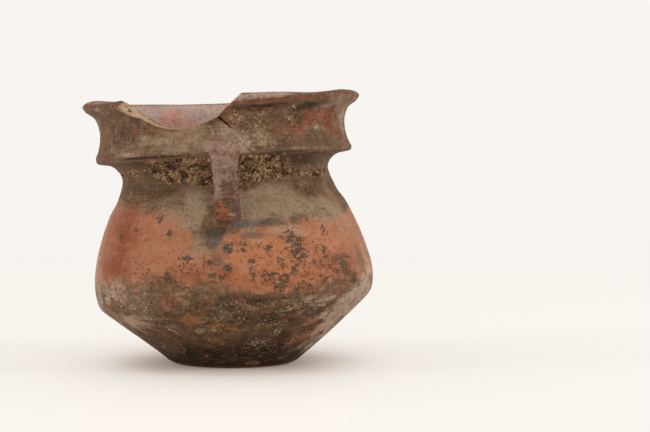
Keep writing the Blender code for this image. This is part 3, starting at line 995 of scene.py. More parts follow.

# %% [markdown]
# Smoke left a grey cloud under the handle and level bands beside it and on the ridge. The band just under
# the lip is painted shade, where the lip keeps the light off.

# %% Smoke and painted shade
coat("smoke", (0.085, 0.066, 0.050), (0.135, 0.108, 0.083), WALL_SIDE * ovals(
    (-4, 50.5, 3.4, 4.8, 0.76), (-8, 47, 3, 4.4, 0.25), (-3, 42, 3, 4, 0.7), (12, 50, 5, 1.2, 0.62),
    (20, 54, 8, 1.5, 0.75, -2), (7, 54.5, 4, 1.6, 0.8), (1, 39, 1.8, 1.9, 0.8),
    (1, 45.5, 1.4, 2.3, 0.7), (29, 48.5, 3.6, 2.4, 0.5), (28, 80.5, 8, 1.4, 0.6),
    # (30, 95) lies just under the lip: painted shade
    (52, 83, 12, 1.6, 0.45), (30, 95, 14, 1.2, 0.5), (140, 60, 12, 5, 0.7), (-100, 40, 8, 6, 0.6),
    (38, 21, 5, 2.4, 0.7, 20), shake=0.5, soft=0.7), most=0.85, spread=1.2, soft=0.25)

# %% [markdown]
# The cone below is brown with soil and smoke. The same brown lies in patches on the collar and on the
# belly at the back. Its bands on the neck, in the hollow under the ridge, are partly brown dirt and partly
# painted shade.

# %% Umber and painted shade
coat("umber", (0.058, 0.032, 0.016), (0.136, 0.078, 0.040), WALL_SIDE * strongest(
    zone(-5.0, line((-180, 22), (-75, 17), (-55, 16), (-40, 19), (-25, 28), (-12, 31), (0, 30),
                    (14, 29), (34, 28), (48, 25), (60, 14), (90, 20)), 4.0),
    # ovals at 66 to 73 mm lie on the neck: partly brown dirt, partly painted shade under the ridge
    ovals((59, 31, 6.5, 2.7, 0.9, -20), (52, 66, 10, 5, 0.8, 10), (-41, 68, 17, 3, 0.7),
          (-11, 68.5, 8, 2.4, 0.5), (-66, 70, 9, 4, 0.5), (-33, 72.5, 9, 2.2, 0.55),
          (-52, 89.5, 5, 4.2, 0.9, 5), (-40, 92, 5, 2, 0.6, 25), (0, 92, 26, 1.6, 0.4),
          (38, 91.5, 4.5, 4, 0.85), (18, 92, 8, 3, 0.35), (42, 86, 5, 3, 0.4), (100, 40, 14, 8, 0.7),
          (-135, 45, 16, 9, 0.7, 20), (160, 52, 12, 6, 0.6))), most=0.85, spread=1.0, soft=0.4)

# %% [markdown]
# The foot and the low cone are nearly black where the pot stood in the fire. Under the lip, in the hollow
# under the ridge and in a thin line along the lower edge of the ridge the same dark is painted shade,
# where the overhangs keep the light off.

# %% Soot and painted shade
coat("soot", (0.014, 0.008, 0.004), (0.046, 0.024, 0.012), WALL_SIDE * strongest(
    zone(-5.0, line((-180, 9), (-75, 7), (-48, 6), (-30, 9), (-10, 11), (0, 10.5), (20, 12), (35, 12),
                    (50, 8), (62, 5), (90, 9)), 5.0),
    # painted shade: the ovals at about 96 mm lie under the lip, those at about 76 mm under the ridge
    ovals((20, 96.2, 10, 1.4, 0.8, 2), (42, 96, 7, 1.4, 0.75, 4), (-3, 24.5, 6.5, 2.4, 0.3),
          (17, 26.5, 10, 1.8, 0.75), (20, 20.6, 10, 3, 0.65), (44, 76, 14, 3, 0.62, -3),
          (-42, 77, 12, 2.4, 0.25), (-18, 76, 17, 3, 0.8), (20, 76, 14, 3, 0.8), (-2, 52.5, 4, 2, 0.5)),
    # painted shade: a thin dark line along the lower edge of the ridge, all round the pot
    ovals((-26, 79.9, 17, 0.55, 0.9), (33, 79.4, 10, 0.6, 0.7), (130, 79.8, 30, 0.6, 0.7),
          (-130, 79.8, 30, 0.6, 0.7), shake=0.25)), most=0.9, spread=1.0, soft=0.4)

# %% [markdown]
# The collar and the lip keep a darker red in patches, and in thin lines on the lip's edge and the ridge.

# %% Dark red
coat("dark_red", (0.120, 0.036, 0.020), (0.235, 0.074, 0.038), WALL_SIDE * strongest(
    ovals((61, 88.5, 6, 3.2, 1.15, -25), (69, 85, 4, 2.8, 1, -35), (55, 92.5, 6.5, 2.2, 1, 10),
          (65, 88.5, 4.5, 3.4, 1.3), (46, 91.5, 3.6, 3.6, 0.9, 20), (40, 87.5, 2.3, 1.8, 0.75),
          (7, 91, 1.8, 0.9, 0.9, -10), (-120, 90, 9, 5, 0.9, 10), (120, 88, 8, 4, 0.8),
          (165, 91, 7, 4, 0.8)),
    ovals((19, 98.7, 12, 0.6, 0.9, 3), (41, 99.1, 11, 0.55, 0.9, 6), (64, 100.4, 10, 0.7, 0.9, -3),
          (-60, 99.6, 8, 0.6, 0.85, 2), (-45, 99.4, 1.8, 0.6, 0.7), (100, 99, 20, 0.8, 0.8),
          (-120, 99, 18, 0.9, 0.8), (170, 99, 20, 0.8, 0.8), (-62, 81.2, 7.3, 0.5, 0.85),
          (71, 81.1, 9, 0.5, 0.8, 5), (30, 80.4, 10, 0.4, 0.5), (130, 80.7, 20, 0.7, 0.8), shake=0.3)),
    most=0.9, spread=1.15, soft=0.3)

# %% [markdown]
# Rosy stains, left by slip rubbed thin, are scattered over the collar and the cone.

# %% Rosy stains
coat("rosy", (0.170, 0.060, 0.034), (0.270, 0.106, 0.066), WALL_SIDE * ovals(
    (-39, 32.7, 2.5, 1.2, 0.8), (-35, 35, 3.3, 1.5, 0.8), (-41, 22.8, 1.6, 0.8, 0.9),
    (-23, 27.5, 4, 2.6, 0.8), (-8, 29, 4, 2, 0.5), (22, 25.2, 2, 1.2, 0.8), (26, 18.7, 1.3, 0.7, 0.85),
    (32, 21, 2.2, 1.2, 0.7, 20), (43, 17.5, 3.6, 2.4, 0.9), (48, 11.5, 6, 2.6, 1.1, 20),
    (53, 15.5, 4, 2.6, 1.1, 25), (60, 14, 5, 2, 0.8, 30), (20, 2.3, 3, 0.6, 0.9, 5),
    (50, 27.5, 6, 1.9, 0.7, 20), (34, 88, 3.6, 3, 0.75), (28, 91.5, 5, 1, 0.5), (-38, 89, 2, 1.5, 0.6),
    (-62, 89, 2.5, 2, 0.6), (14, 96, 5, 1.2, 0.4), (66, 61, 6, 4, 0.5), (-110, 24, 6, 3, 0.7),
    (130, 26, 8, 3, 0.7), soft=0.7), most=0.75, spread=1.1, soft=0.35)

# %% [markdown]
# Between the stains that stand out, the cone and the collar are mottled with weaker ones, in rust-brown
# and olive, drawn out level. Noise places nearly all of them. The dark stretch low at the front has fewer.

# %% Weak stains
drawn_out = PLACE * (1.0, 1.0, 2.2)
rust_noise = rough(drawn_out, 5.5 * MM, salt=61)
olive_noise = rough(drawn_out, 5 * MM, salt=67)
on_cone = zone(3.0, line((-180, 30), (-60, 34), (-30, 35), (10, 30), (60, 28), (90, 30)), 3.0)
on_cone *= 1.0 - 0.8 * ovals((20, 20, 14, 6, 1), soft=0.7)
on_collar = zone(80.0, 99.0, 3.0)
coat("rust_brown", (0.130, 0.052, 0.027), (0.215, 0.088, 0.048), WALL_SIDE * strongest(
    on_cone * ramp(LEVEL, 6, 18) * ramp(rust_noise, 0.45, 0.70),
    0.7 * on_collar * ramp(rust_noise, 0.46, 0.70)), most=0.6, spread=1.0, soft=0.45)
coat("olive", (0.105, 0.078, 0.044), (0.230, 0.170, 0.100), WALL_SIDE * strongest(
    on_cone * ramp(LEVEL, 10, 22) * ramp(olive_noise, 0.48, 0.72),
    0.6 * on_collar * ramp(olive_noise, 0.48, 0.72),
    ovals((29, 25.7, 7, 2, 0.8), (24, 22, 5, 1.5, 0.5))), most=0.55, spread=1.1, soft=0.45)

# %% [markdown]
# Handling wore the raised turns paler: the upper face of the lip and the sharp turn of the body, most of
# all on the right, where the slip is rubbed through to the pale clay. The pale patches at the very left
# and right edges of the body and the collar are painted sheen.

# %% Wear and painted sheen
coat("lip_wear", (0.310, 0.200, 0.145), (0.450, 0.330, 0.255), WALL_SIDE * ovals(
    (20, 100.4, 14, 1.1, 0.85, 2), (45, 101.6, 8, 0.7, 0.55, 4), (-58, 100.9, 12, 0.9, 0.6),
    (105, 101, 18, 1, 0.6), (180, 102.5, 60, 3, 0.9), shake=0.25), most=0.85, spread=0.7, soft=0.4)
coat("wear", (0.300, 0.200, 0.135), (0.470, 0.340, 0.250), WALL_SIDE * ovals(
    (68, 28.5, 5, 4.5, 1, 15), (58, 24, 10, 3.6, 0.95, 25), (62, 18, 9, 4.5, 1.1, 35),
    # painted sheen: (74, 24) and (-78, 26) at the body's edges, (78, 92) and (-80, 90) at the collar's
    (58, 20.5, 6, 4.5, 1.6, 30), (74, 24, 8, 10, 0.95), (70, 12, 6, 6, 0.75, 30),
    (56, 10, 5, 2.5, 0.6, 35), (-78, 26, 8, 7, 0.75), (-70, 20, 7, 4, 0.6, -35), (40, 25, 6, 2.2, 0.6),
    (8, 84, 7.5, 4, 0.55), (3, 88, 4, 2.5, 0.5), (22, 82.5, 6, 1.6, 0.4), (-57, 97, 6, 1.5, 0.45),
    (-51, 32, 7, 3, 0.3), (-60, 30.5, 4, 3, 0.55), (-46, 20, 8, 3, 0.75), (78, 92, 5, 8, 0.3),
    (-80, 90, 6, 8, 0.3), (110, 30, 12, 3, 0.5), (-150, 32, 14, 3, 0.5), (160, 29, 12, 2.5, 0.5),
    soft=0.7), most=0.75, spread=1.25, soft=0.4)

# %% [markdown]
# The strap has colours of its own: mauve-brown at the top, dark brown in the middle and rust at its foot,
# where a straw-coloured grain sticks to it. The mauve-brown along the middle of the strap's width is
# partly a painted highlight on its rounded face, which leaves the edges darker.

# %% Strap of the handle, with a painted highlight
coat("strap", (0.090, 0.050, 0.036), (0.160, 0.092, 0.066), STRAP, most=1.0, spread=0.2, soft=0.3)
coat("strap_mauve", (0.215, 0.125, 0.092), (0.315, 0.196, 0.148), OUTSIDE * ovals(
    # partly a painted highlight along the middle of the strap's width at its top
    (1, 76, 4.5, 8, 0.9), (1, 82, 5, 6, 0.6), (-2, 68, 2.5, 6, 0.6), soft=0.7),
    most=0.9, spread=1.0, soft=0.4)
coat("strap_rust", (0.100, 0.030, 0.015), (0.290, 0.110, 0.050), STRAP * ovals(
    (0, 58.3, 3.6, 3.8, 1), (-2, 62, 2, 2.4, 0.7), (4.5, 64, 1.4, 6, 0.5)),
    most=0.9, spread=1.2, soft=0.25)

# %% [markdown]
# The slip has come off in small scabs, mostly to the right of the handle. The mesh is too coarse for
# their outlines, so their coat only says how crowded they are, and noise in the material draws them.

# %% Scabs
SCAB_CROWDING = 0.93

coat("scabs", (0.032, 0.026, 0.018), (0.105, 0.084, 0.060), SCAB_CROWDING * WALL_SIDE * ovals(
    (28, 48.6, 3.4, 2.6, 0.79), (31, 44, 3.2, 5, 0.75, -20), (26, 45, 2.5, 2.5, 0.6),
    (47, 49.8, 2, 2.4, 0.7), (44, 42.6, 2, 3.4, 0.72), (52, 37.5, 8, 6, 0.54), (42, 38, 5, 4, 0.4),
    (11, 36.4, 2, 4, 0.8), (16, 34.5, 4, 3.4, 0.76), (22, 33.4, 4, 2.4, 0.7), (10, 40.7, 2.4, 1, 0.85),
    (18, 45.2, 2.4, 1.5, 0.7), (32, 40, 22, 9, 0.37), (23, 40.9, 0.6, 0.5, 1.1), (28, 37.3, 2.5, 3, 0.7),
    (34, 35.5, 6, 2.5, 0.42), (21, 30.8, 4, 2, 0.76), (29, 30.6, 5, 1.8, 0.72), (40, 32.5, 5, 2, 0.6),
    (2, 46.1, 2.2, 2, 0.8), (8, 46, 3, 3, 0.5), (-24, 52.6, 0.9, 1.2, 0.85), (-43, 54.1, 2, 1, 0.85),
    (-53, 51.7, 1.3, 0.9, 0.95), (-15, 43.1, 3.4, 1.3, 0.6),
    (-24, 37.5, 3, 2, 0.5), (-14, 38.5, 7, 3.4, 0.45), (-7, 41.8, 2.4, 2.4, 0.6),
    (-30, 58, 1.6, 2.5, 0.55), (1, 39.2, 2, 2.5, 0.75), (-4, 36, 5, 2.4, 0.65),
    (-49, 43.5, 1.9, 1.2, 0.5), (-38, 40, 6, 3, 0.42), (130, 45, 22, 10, 0.55), (-110, 50, 20, 8, 0.55),
    (-160, 45, 20, 10, 0.55), soft=0.8), most=0.85, soft=0.1, specks=True)

# %% [markdown]
# Crumbs of lime are drawn in the same way, mostly on the cone and the collar. The last two ovals are
# single crumbs that can be seen on their own.

# %% Crumbs of lime
coat("lime", (0.30, 0.215, 0.135), (0.50, 0.385, 0.270), OUTSIDE * strongest(
    ovals((-54, 21, 4, 3, 0.58, 20), (-37, 22.4, 3, 0.7, 0.8, -25), (-30, 16.7, 3, 1.2, 0.65, -30),
          (-4, 20.5, 2.4, 1.2, 0.6), (17, 10.4, 4, 2.1, 0.66), (24, 14.3, 2, 1.5, 0.6),
          (39, 10.1, 1, 1.2, 0.6), (27, 23.3, 4.7, 1, 0.55, 8), (6, 20, 3.3, 1.2, 0.4, 10),
          (15, 18.2, 1.9, 1.2, 0.4), (52, 23.3, 4.8, 0.8, 0.5, 25), (-42, 27, 12, 5, 0.36),
          (10, 25, 18, 4, 0.3), (20, 8, 14, 4, 0.28), (-120, 24, 6, 2, 0.5), (150, 30, 6, 2.5, 0.5),
          soft=0.8),
    ovals((15, 86, 6, 3.5, 0.42), (17, 91, 5, 3, 0.38), (49, 88, 4, 1.2, 0.6),
          (-41, 81.3, 3.2, 0.6, 0.6), (40, 71.8, 4, 1, 0.55), (60, 71.5, 6, 0.8, 0.5),
          (-10, 63.7, 2.2, 5, 0.3), (10, 64.2, 1.5, 5, 0.28), (35, 96, 1.4, 1, 0.7),
          (0, 84, 6, 4, 0.25), soft=0.8),
    ovals((-48, 8.8, 0.6, 0.5, 1.3), (34, 91.5, 0.6, 0.5, 1.3), shake=0.1)),
    most=0.8, soft=0.12, specks=True)

# %% [markdown]
# Straw-coloured grit and rust lie among them. One grain of grit sticks to the handle's foot, and one speck
# of rust can be seen low on the left.

# %% Grit and rust
coat("straw", (0.25, 0.175, 0.085), (0.43, 0.325, 0.165), OUTSIDE * strongest(
    ovals((-15, 16.2, 3.4, 1.6, 0.74), (-8, 16.5, 2.2, 1.3, 0.68), (54, 100, 3, 0.6, 0.7),
          (60, 69.9, 2.5, 0.7, 0.9), (10, 93, 3, 2.3, 0.55), (35, 95.8, 1.6, 1.4, 0.5),
          (20, 18, 8, 3, 0.3), (16, 88, 7, 4, 0.35), (170, 90, 6, 4, 0.5), soft=0.8),
    ovals((4.5, 58.1, 0.9, 0.5, 1.3), shake=0.1)), most=0.85, soft=0.12, specks=True)
coat("rust", (0.21, 0.075, 0.032), (0.40, 0.170, 0.080), OUTSIDE * strongest(
    ovals((-16, 20.5, 4.4, 2, 0.8), (-4, 18.4, 4, 0.9, 0.85), (1, 16.4, 3, 0.8, 0.8, -15),
          (-4, 10.5, 2.2, 1.3, 0.6, 20), (-12, 36, 9, 3, 0.35), (30, 30, 12, 2, 0.45),
          (-100, 14, 5, 2, 0.6)),
    ovals((-17, 5.4, 0.8, 0.6, 1.1), shake=0.1)), most=0.85, soft=0.2, specks=True)

# %% [markdown]
# The inside is greyish near the rim, with rosy stains, and dark in the belly.

# %% Inside
inside = 1.0 - OUTSIDE

coat("inside", (0.420, 0.290, 0.240), (0.500, 0.366, 0.308), inside, most=1.0, spread=0.2, soft=0.4)
coat("inside_rose", (0.480, 0.200, 0.145), (0.590, 0.310, 0.245), inside * ovals(
    (-150, 96, 5, 3, 0.9), (-157, 91.5, 8, 3.5, 0.95), (178, 94, 8, 2.5, 0.5), (155, 92, 8, 4, 0.6),
    (100, 92, 10, 5, 0.7), (-90, 93, 12, 4, 0.6), soft=0.7), most=0.8, spread=0.8, soft=0.45)
coat("inside_dark", (0.060, 0.036, 0.022), (0.120, 0.075, 0.048), inside * strongest(
    1.0 - ramp(LEVEL, 45, 92), ovals((176, 94, 11, 5, 0.42), soft=0.7)))

# %% [markdown]
# The broken edge shows the clean, sandy inside of the clay. A point is on it when it lies at the height of
# the break, between the two faces of the wall, where the lip is lost. Where the crack gapes it is painted
# nearly black: painted shade in its open gap. Pale fresh grains lie along its lower end.

# %% Fracture, and crack with painted shade
near_break = (DEGREES > BREAK_LEFT - 3.5) & (DEGREES < BREAK_RIGHT + 4.0)
cut_outer, cut_inner = break_heights(ANGLE)
across_wall = np.clip(THROUGH, 0.0, 1.0)
cut_height = cut_outer * (1 - across_wall) + cut_inner * across_wall
above_cut = HEIGHT - cut_height
on_break = near_break & (cut_height < lip_height(RADIUS) - 0.1 * MM)
on_edge = ramp(above_cut, -0.5 * MM, -0.15 * MM)
in_wall = ramp(THROUGH, 0.12, 0.25) * ramp(THROUGH, 1.0, 0.9) * ramp(above_cut, -1.2 * MM, -0.8 * MM)

coat("fracture", (0.36, 0.215, 0.125), (0.54, 0.380, 0.260), on_break * strongest(on_edge, in_wall),
    most=1.0, spread=0.3, soft=0.2)
coat("crumbs", (0.34, 0.220, 0.140), (0.50, 0.370, 0.260), OUTSIDE * (1 - ramp(LEVEL, 88, 90))
    * crack_share(ANGLE, HEIGHT, widened=1.6), most=1.0, spread=0.6, soft=0.2)
# painted shade: the gaping crack is painted nearly black
coat("crack", (0.008, 0.005, 0.003), (0.014, 0.009, 0.006), OUTSIDE * ramp(LEVEL, 88, 90.5)
    * crack_share(ANGLE, HEIGHT), most=1.0, spread=0.3, soft=0.2)

# %% [markdown]
# ## The material, from the clay outwards
# The material lays the coats on in the order in which they were listed: the shades of the slip, then dust,
# smoke and soot, then stains and wear, and the broken edge and the crack last. Soot, smoke and umber also
# carry painted shade, and blush, pale dust and wear painted sheen. Each coat is one Mix node over the
# coats below. Noise in object coordinates breaks its soft edge into grains, which are much finer than the
# mesh.
#
# About two hundred nodes are needed, so the first helper makes one and fills its sockets in a single call.
# The second starts a material and hands over what every material here needs.

# %% A new material
def add_node(tree, kind, sockets=None, **settings):
    """A new node. Each named socket gets a value, or a link when it is given another node's output.

    A colour of three numbers gets 1 as its fourth.
    """
    node = tree.nodes.new("ShaderNode" + kind)
    for name, value in settings.items():
        setattr(node, name, value)
    for name, value in (sockets or {}).items():
        if isinstance(value, bpy.types.NodeSocket):
            tree.links.new(value, node.inputs[name])
        elif isinstance(value, tuple) and len(value) < len(node.inputs[name].default_value):
            node.inputs[name].default_value = (*value, 1)
        else:
            node.inputs[name].default_value = value
    return node


def new_material(name):
    """A material with nodes: itself, its tree, its Principled shader and its object coordinates."""
    material = bpy.data.materials.new(name)
    material.use_nodes = True
    tree = material.node_tree
    return material, tree, tree.nodes["Principled BSDF"], add_node(tree, "TexCoord").outputs["Object"]


clay, tree, shader, place = new_material("fired_clay_with_slip")
print("material", clay.name, "starts with the nodes", [node.name for node in tree.nodes])

# %% [markdown]
# Noise and sums come next. Blender's noise keeps mostly to the middle of its range, so it is stretched to
# run from 0 to 1. That way the later steps can say how much of a surface a spot covers.

# %% Noise and sums
NOISE_LOW, NOISE_HIGH = 0.26, 0.74


def between(tree, value, low, high, start=0.0, end=1.0):
    """A value taken smoothly from low..high to start..end."""
    sockets = {"Value": value, "From Min": low, "From Max": high, "To Min": start, "To Max": end}
    return add_node(tree, "MapRange", sockets, interpolation_type="SMOOTHSTEP").outputs["Result"]


def spots(tree, place, size, layers=4.0, roughness=0.6, scale=(1.0, 1.0, 1.0)):
    """Noise with spots about this many metres across, as 0..1. A larger scale shortens them that way."""
    place = add_node(tree, "Mapping", {"Vector": place, "Scale": scale}).outputs["Vector"]
    sockets = {"Vector": place, "Scale": 1.0 / size, "Detail": layers, "Roughness": roughness}
    return between(tree, add_node(tree, "TexNoise", sockets).outputs["Fac"], NOISE_LOW, NOISE_HIGH)


def calculate(tree, operation, *values):
    """One Math node on one to three values."""
    return add_node(tree, "Math", dict(enumerate(values)), operation=operation).outputs["Value"]


def blend(tree, *parts):
    """The sum of each value times its share."""
    total = 0.0
    for value, share in parts:
        total = calculate(tree, "MULTIPLY_ADD", value, share, total)
    return total


print("noise is stretched from", (NOISE_LOW, NOISE_HIGH), "to (0, 1)")

# %% [markdown]
# The grains that break up the coats are a mixture: level streaks from the potter's rubbing, mottles a few
# millimetres wide, hairs and specks. The body of each coat is mottled by a second mixture. Scabs need
# larger marks, some drawn out sideways and some downwards.

# %% Grains of the clay
# drips are a little rarer than level marks
FEWER_DRIPS = 0.06

mottle = spots(tree, place, 4.4 * MM, layers=6.0, roughness=0.65)
speck = spots(tree, place, 1.2 * MM, layers=4.0, roughness=0.7)
dot = spots(tree, place, 0.5 * MM, layers=2.0)
streak = spots(tree, place, 8 * MM, layers=6.0, roughness=0.65, scale=(1.0, 1.0, 6.0))
hair = spots(tree, place, 3 * MM, layers=4.0, roughness=0.6, scale=(1.0, 1.0, 5.0))
grain = blend(tree, (mottle, 0.3), (streak, 0.2), (hair, 0.25), (speck, 0.25))
body = blend(tree, (mottle, 0.4), (streak, 0.25), (speck, 0.35))
crumb = spots(tree, place, 0.85 * MM, layers=3.0, roughness=0.6)
level_marks = spots(tree, place, 1.25 * MM, layers=3.0, scale=(0.55, 0.55, 1.3))
drips = spots(tree, place, 1.25 * MM, layers=3.0, scale=(1.3, 1.3, 0.6))
marks = calculate(tree, "MAXIMUM", level_marks, calculate(tree, "SUBTRACT", drips, FEWER_DRIPS))
print("grains mixed from", len(tree.nodes), "nodes")

# %% [markdown]
# The bare clay is a mottled brown with olive streaks. It is the first colour, and each coat goes over it.

# %% Bare clay
CLAY_DARK, CLAY_PALE = (0.095, 0.055, 0.033), (0.195, 0.120, 0.073)
CLAY_OLIVE = (0.140, 0.100, 0.055)


def lay(tree, share, below, above):
    """One colour laid over another. Sockets 0, 6 and 7 of a colour Mix node are its factor and colours."""
    sockets = {0: share, 6: below, 7: above}
    return add_node(tree, "Mix", sockets, data_type="RGBA").outputs[2]


colour = lay(tree, between(tree, grain, 0.2, 0.8), CLAY_DARK, CLAY_PALE)
colour = lay(tree, between(tree, streak, 0.5, 0.9, end=0.5), colour, CLAY_OLIVE)
print("bare clay laid on,", len(tree.nodes), "nodes")

# %% [markdown]
# A loop lays the coats. Each has two colours of its own, which mottle it. Its share comes from the mesh,
# and the grains make the edge ragged. Scabs and the crumbs of lime, grit and rust are separate specks
# instead, which crowd together where the share is strong. The larger marks draw the scabs, and small round
# ones draw the crumbs.

# %% Lay the coats
# the sum of share and grain at which a speck begins
SPECK_EDGE = 1.12


def attribute(tree, name):
    """A share kept on the mesh, as the material reads it."""
    return add_node(tree, "Attribute", attribute_name=name).outputs["Fac"]


def ragged(tree, share, grain, spread, soft, most):
    """A share whose edge is broken up by grains: share + (grain - 0.5) * spread, cut softly at 0.5."""
    shaken = calculate(tree, "MULTIPLY_ADD", grain, spread, share)
    middle = 0.5 + 0.5 * spread
    return between(tree, shaken, middle - soft, middle + soft, end=most)


def crowded(tree, share, grain, soft, most):
    """Separate specks, as crowded as the share is strong: share + grain, cut sharply at SPECK_EDGE."""
    sum_of_both = calculate(tree, "ADD", grain, share)
    return between(tree, sum_of_both, SPECK_EDGE - soft, SPECK_EDGE + soft, end=most)


laid = {}
for name, dark, pale, most, spread, soft, specks in COATS:
    share = attribute(tree, name)
    drawn_by = marks if name == "scabs" else crumb
    laid[name] = (crowded(tree, share, drawn_by, soft, most) if specks
                  else ragged(tree, share, grain, spread, soft, most))
    mixed = lay(tree, between(tree, dot if specks else body, 0.25, 0.75), dark, pale)
    colour = lay(tree, laid[name], colour, mixed)
print(len(COATS), "coats,", len(tree.nodes), "nodes")

# %% [markdown]
# Dirt sits in the finest pores, so the smallest grains darken every colour a little. A few chalky ones
# stand out pale.

# %% Pores
PORE, CHALK = (0.020, 0.012, 0.007), (0.50, 0.370, 0.260)

colour = lay(tree, between(tree, speck, 0.4, 0.0, end=0.4), colour, PORE)
colour = lay(tree, between(tree, dot, 0.75, 1.0, end=0.12), colour, CHALK)
tree.links.new(colour, shader.inputs["Base Color"])
print("pores and chalk laid on,", len(tree.nodes), "nodes")

# %% [markdown]
# Rubbed slip is a little smoother than the rest, and dust and the fracture are rougher. The finest relief,
# too small for the mesh, is a Bump node: grains everywhere, and scabs that lie a little below the slip.

# %% Gloss and fine relief
# roughness of the clay before the coats change it, and how strongly it reflects
DULL = 0.55
SHEEN = 0.05
RELIEF_HEIGHT = 0.3 * MM

gloss = blend(tree, (laid["slip"], -0.14), (laid["brown_dust"], 0.1), (laid["fracture"], 0.3),
              (speck, 0.12), (1.0, DULL))
tree.links.new(gloss, shader.inputs["Roughness"])
shader.inputs["Specular IOR Level"].default_value = SHEEN
fine_relief = blend(tree, (speck, 0.4), (hair, 0.25), (dot, 0.2), (laid["scabs"], -0.5))
bump = add_node(tree, "Bump", {"Height": fine_relief, "Distance": RELIEF_HEIGHT, "Strength": 0.7})
tree.links.new(bump.outputs["Normal"], shader.inputs["Normal"])
pot.data.materials.clear()
pot.data.materials.append(clay)
print("material on", pot.name)

# %% [markdown]
# The soil's colour holds painted shade between its grains, where the grain attribute is low, and a
# painted highlight of pale tan on the tops of the raised grains. Some grains are pinkish or
# straw-coloured bits of grit.

# %% Soil, with painted shade and highlight
SOIL_HOLE_SHADE, SOIL_BROWN = (0.010, 0.006, 0.003), (0.195, 0.108, 0.050)
SOIL_TAN_AND_HIGHLIGHT, GRIT = (0.48, 0.325, 0.185), (0.50, 0.340, 0.220)

earth, tree, shader, place = new_material("caked_soil")
grit = spots(tree, place, 1.4 * MM, layers=3.0, roughness=0.7)
fine = spots(tree, place, 0.7 * MM, layers=3.0, roughness=0.7)
rise = attribute(tree, "grain")
# painted shade: near black in the holes between the grains
colour = lay(tree, between(tree, rise, 0.06, 0.6), SOIL_HOLE_SHADE, SOIL_BROWN)
# painted highlight: pale tan on the tops of the raised grains, broken up by fine noise
lit = calculate(tree, "MULTIPLY", between(tree, rise, 0.4, 0.85), between(tree, fine, 0.42, 0.68))
colour = lay(tree, lit, colour, SOIL_TAN_AND_HIGHLIGHT)
colour = lay(tree, between(tree, grit, 0.8, 0.9, end=0.85), colour, GRIT)
tree.links.new(colour, shader.inputs["Base Color"])
shader.inputs["Roughness"].default_value = 0.9
shader.inputs["Specular IOR Level"].default_value = SHEEN
bump = add_node(tree, "Bump", {"Height": fine, "Distance": RELIEF_HEIGHT, "Strength": 0.8})
tree.links.new(bump.outputs["Normal"], shader.inputs["Normal"])
soil.data.materials.append(earth)
print("material on", soil.name)

# %% [markdown]
# ## The pieces and the frame
# Both pieces ride on the pot's only body and stand for its solid.

# %% Tie the pieces to the frame
for piece in (pot, soil):
    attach(piece, "root")
    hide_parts("olla")
print("pieces:", pot.name, soil.name)

# %% [markdown]
# ## Floor and light
# The pot stands on plain white paper. The floor is a wide disc. Beside the pot it shines a little of its
# own accord, in a warm tone, as white paper under strong lamps looks in a photo: that keeps the shadows
# light and warm. In front of the foot it hardly does, so the shadow there stays dark. Farther out its own
# light takes over and has the colour of the world, so no horizon shows.

# %% Floor
PAPER = (0.94, 0.905, 0.872, 1)
FOOT_WHITE, SIDE_WHITE, FAR_WHITE = (0.850, 0.875, 0.868), (0.350, 0.400, 0.400), (0.0, 0.0, 0.0)
FOOT_GLOW, SIDE_GLOW = (0.083, 0.035, 0.006), (0.583, 0.510, 0.474)
# how far the dark of the foot reaches, sideways and to the front, and the middle of that patch
FOOT_REACH = (0.045, 0.25)
FOOT_MIDDLE = -0.06
FLOOR_RADIUS = 3.0
FADE_START, FADE_END = 0.3, 1.3

turn = np.linspace(0.0, 2 * np.pi, 128, endpoint=False)
disc = FLOOR_RADIUS * np.stack([np.sin(turn), -np.cos(turn), 0 * turn], axis=1)
floor_mesh = bpy.data.meshes.new("floor")
floor_mesh.from_pydata(disc.tolist(), [], [tuple(range(len(disc)))])
floor = add_piece("floor", floor_mesh)
floor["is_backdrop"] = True

paper, tree, shader, place = new_material("paper")
distance = add_node(tree, "VectorMath", {0: place}, operation="LENGTH").outputs["Value"]
away = between(tree, distance, FADE_START, FADE_END)
stretched = {"Vector": place, "Location": (0.0, -FOOT_MIDDLE / FOOT_REACH[1], 0.0),
             "Scale": (1 / FOOT_REACH[0], 1 / FOOT_REACH[1], 1.0)}
stretched = add_node(tree, "Mapping", stretched).outputs["Vector"]
beside = add_node(tree, "VectorMath", {0: stretched}, operation="LENGTH").outputs["Value"]
beside = between(tree, beside, 0.5, 1.5)
white = lay(tree, beside, FOOT_WHITE, SIDE_WHITE)
glow = lay(tree, beside, FOOT_GLOW, SIDE_GLOW)
tree.links.new(lay(tree, away, white, FAR_WHITE), shader.inputs["Base Color"])
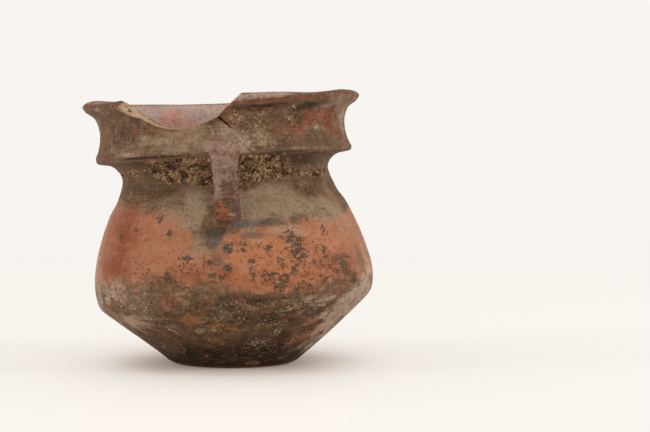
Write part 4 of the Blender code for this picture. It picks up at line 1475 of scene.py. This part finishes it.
tree.links.new(lay(tree, away, glow, PAPER), shader.inputs["Emission Color"])
shader.inputs["Emission Strength"].default_value = 1.0
shader.inputs["Roughness"].default_value = 1.0
shader.inputs["Specular IOR Level"].default_value = 0.0
floor.data.materials.append(paper)
print("floor", 2 * FLOOR_RADIUS, "m across, normal up:", floor_mesh.polygons[0].normal.z > 0)

# %% [markdown]
# The pot was lit as in a light tent: white all round, with a soft lamp low on either side. Each lamp
# models the belly from its own side, and they throw the two faint shadows beside the foot. The white world
# does the rest. The camera sees it at full strength, but it lights the scene a little more weakly.

# %% World and lamps
TENT_LIGHT = 0.95

world = bpy.data.worlds.new("light_tent")
bpy.context.scene.world = world
world.use_nodes = True
tree = world.node_tree
background = tree.nodes["Background"]
background.inputs["Color"].default_value = PAPER
diffuse = add_node(tree, "LightPath").outputs["Is Diffuse Ray"]
tree.links.new(between(tree, diffuse, 0.0, 1.0, 1.0, TENT_LIGHT), background.inputs["Strength"])
bpy.context.scene.view_settings.view_transform = "Standard"
AIM = np.array([0.0, 0.0, 50 * MM])


def soft_lamp(name, place, size, power):
    """A square area lamp aimed at the middle of the pot: tilted by its angle from straight down."""
    light = bpy.data.lights.new(name, "AREA")
    light.energy = power
    light.size = size
    lamp = bpy.data.objects.new(name, light)
    lamp.location = place
    x, y, z = np.array(place) - AIM
    lamp.rotation_euler = (math.atan2(math.hypot(x, y), z), 0.0, math.atan2(x, -y))
    bpy.context.scene.collection.objects.link(lamp)


soft_lamp("left_lamp", (-1.1, -0.35, 0.45), 0.5, 3.6)
soft_lamp("right_lamp", (1.1, -0.25, 0.4), 0.5, 4.0)
print("lamps:", [lamp.name for lamp in bpy.data.lights])

# %% [markdown]
# ## Sizes
# The last cell gathers the box of the solid and the box of the dressed pot, which has to stay inside it,
# and prints the second.

# %% Sizes and finish
sizes = {"cad": CAD_BOX, "visual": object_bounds()}
sizes = {name: [[float(v) for v in corner] for corner in box] for name, box in sizes.items()}
print("dressed box, mm", [[round(v / MM, 2) for v in corner] for corner in sizes["visual"]])
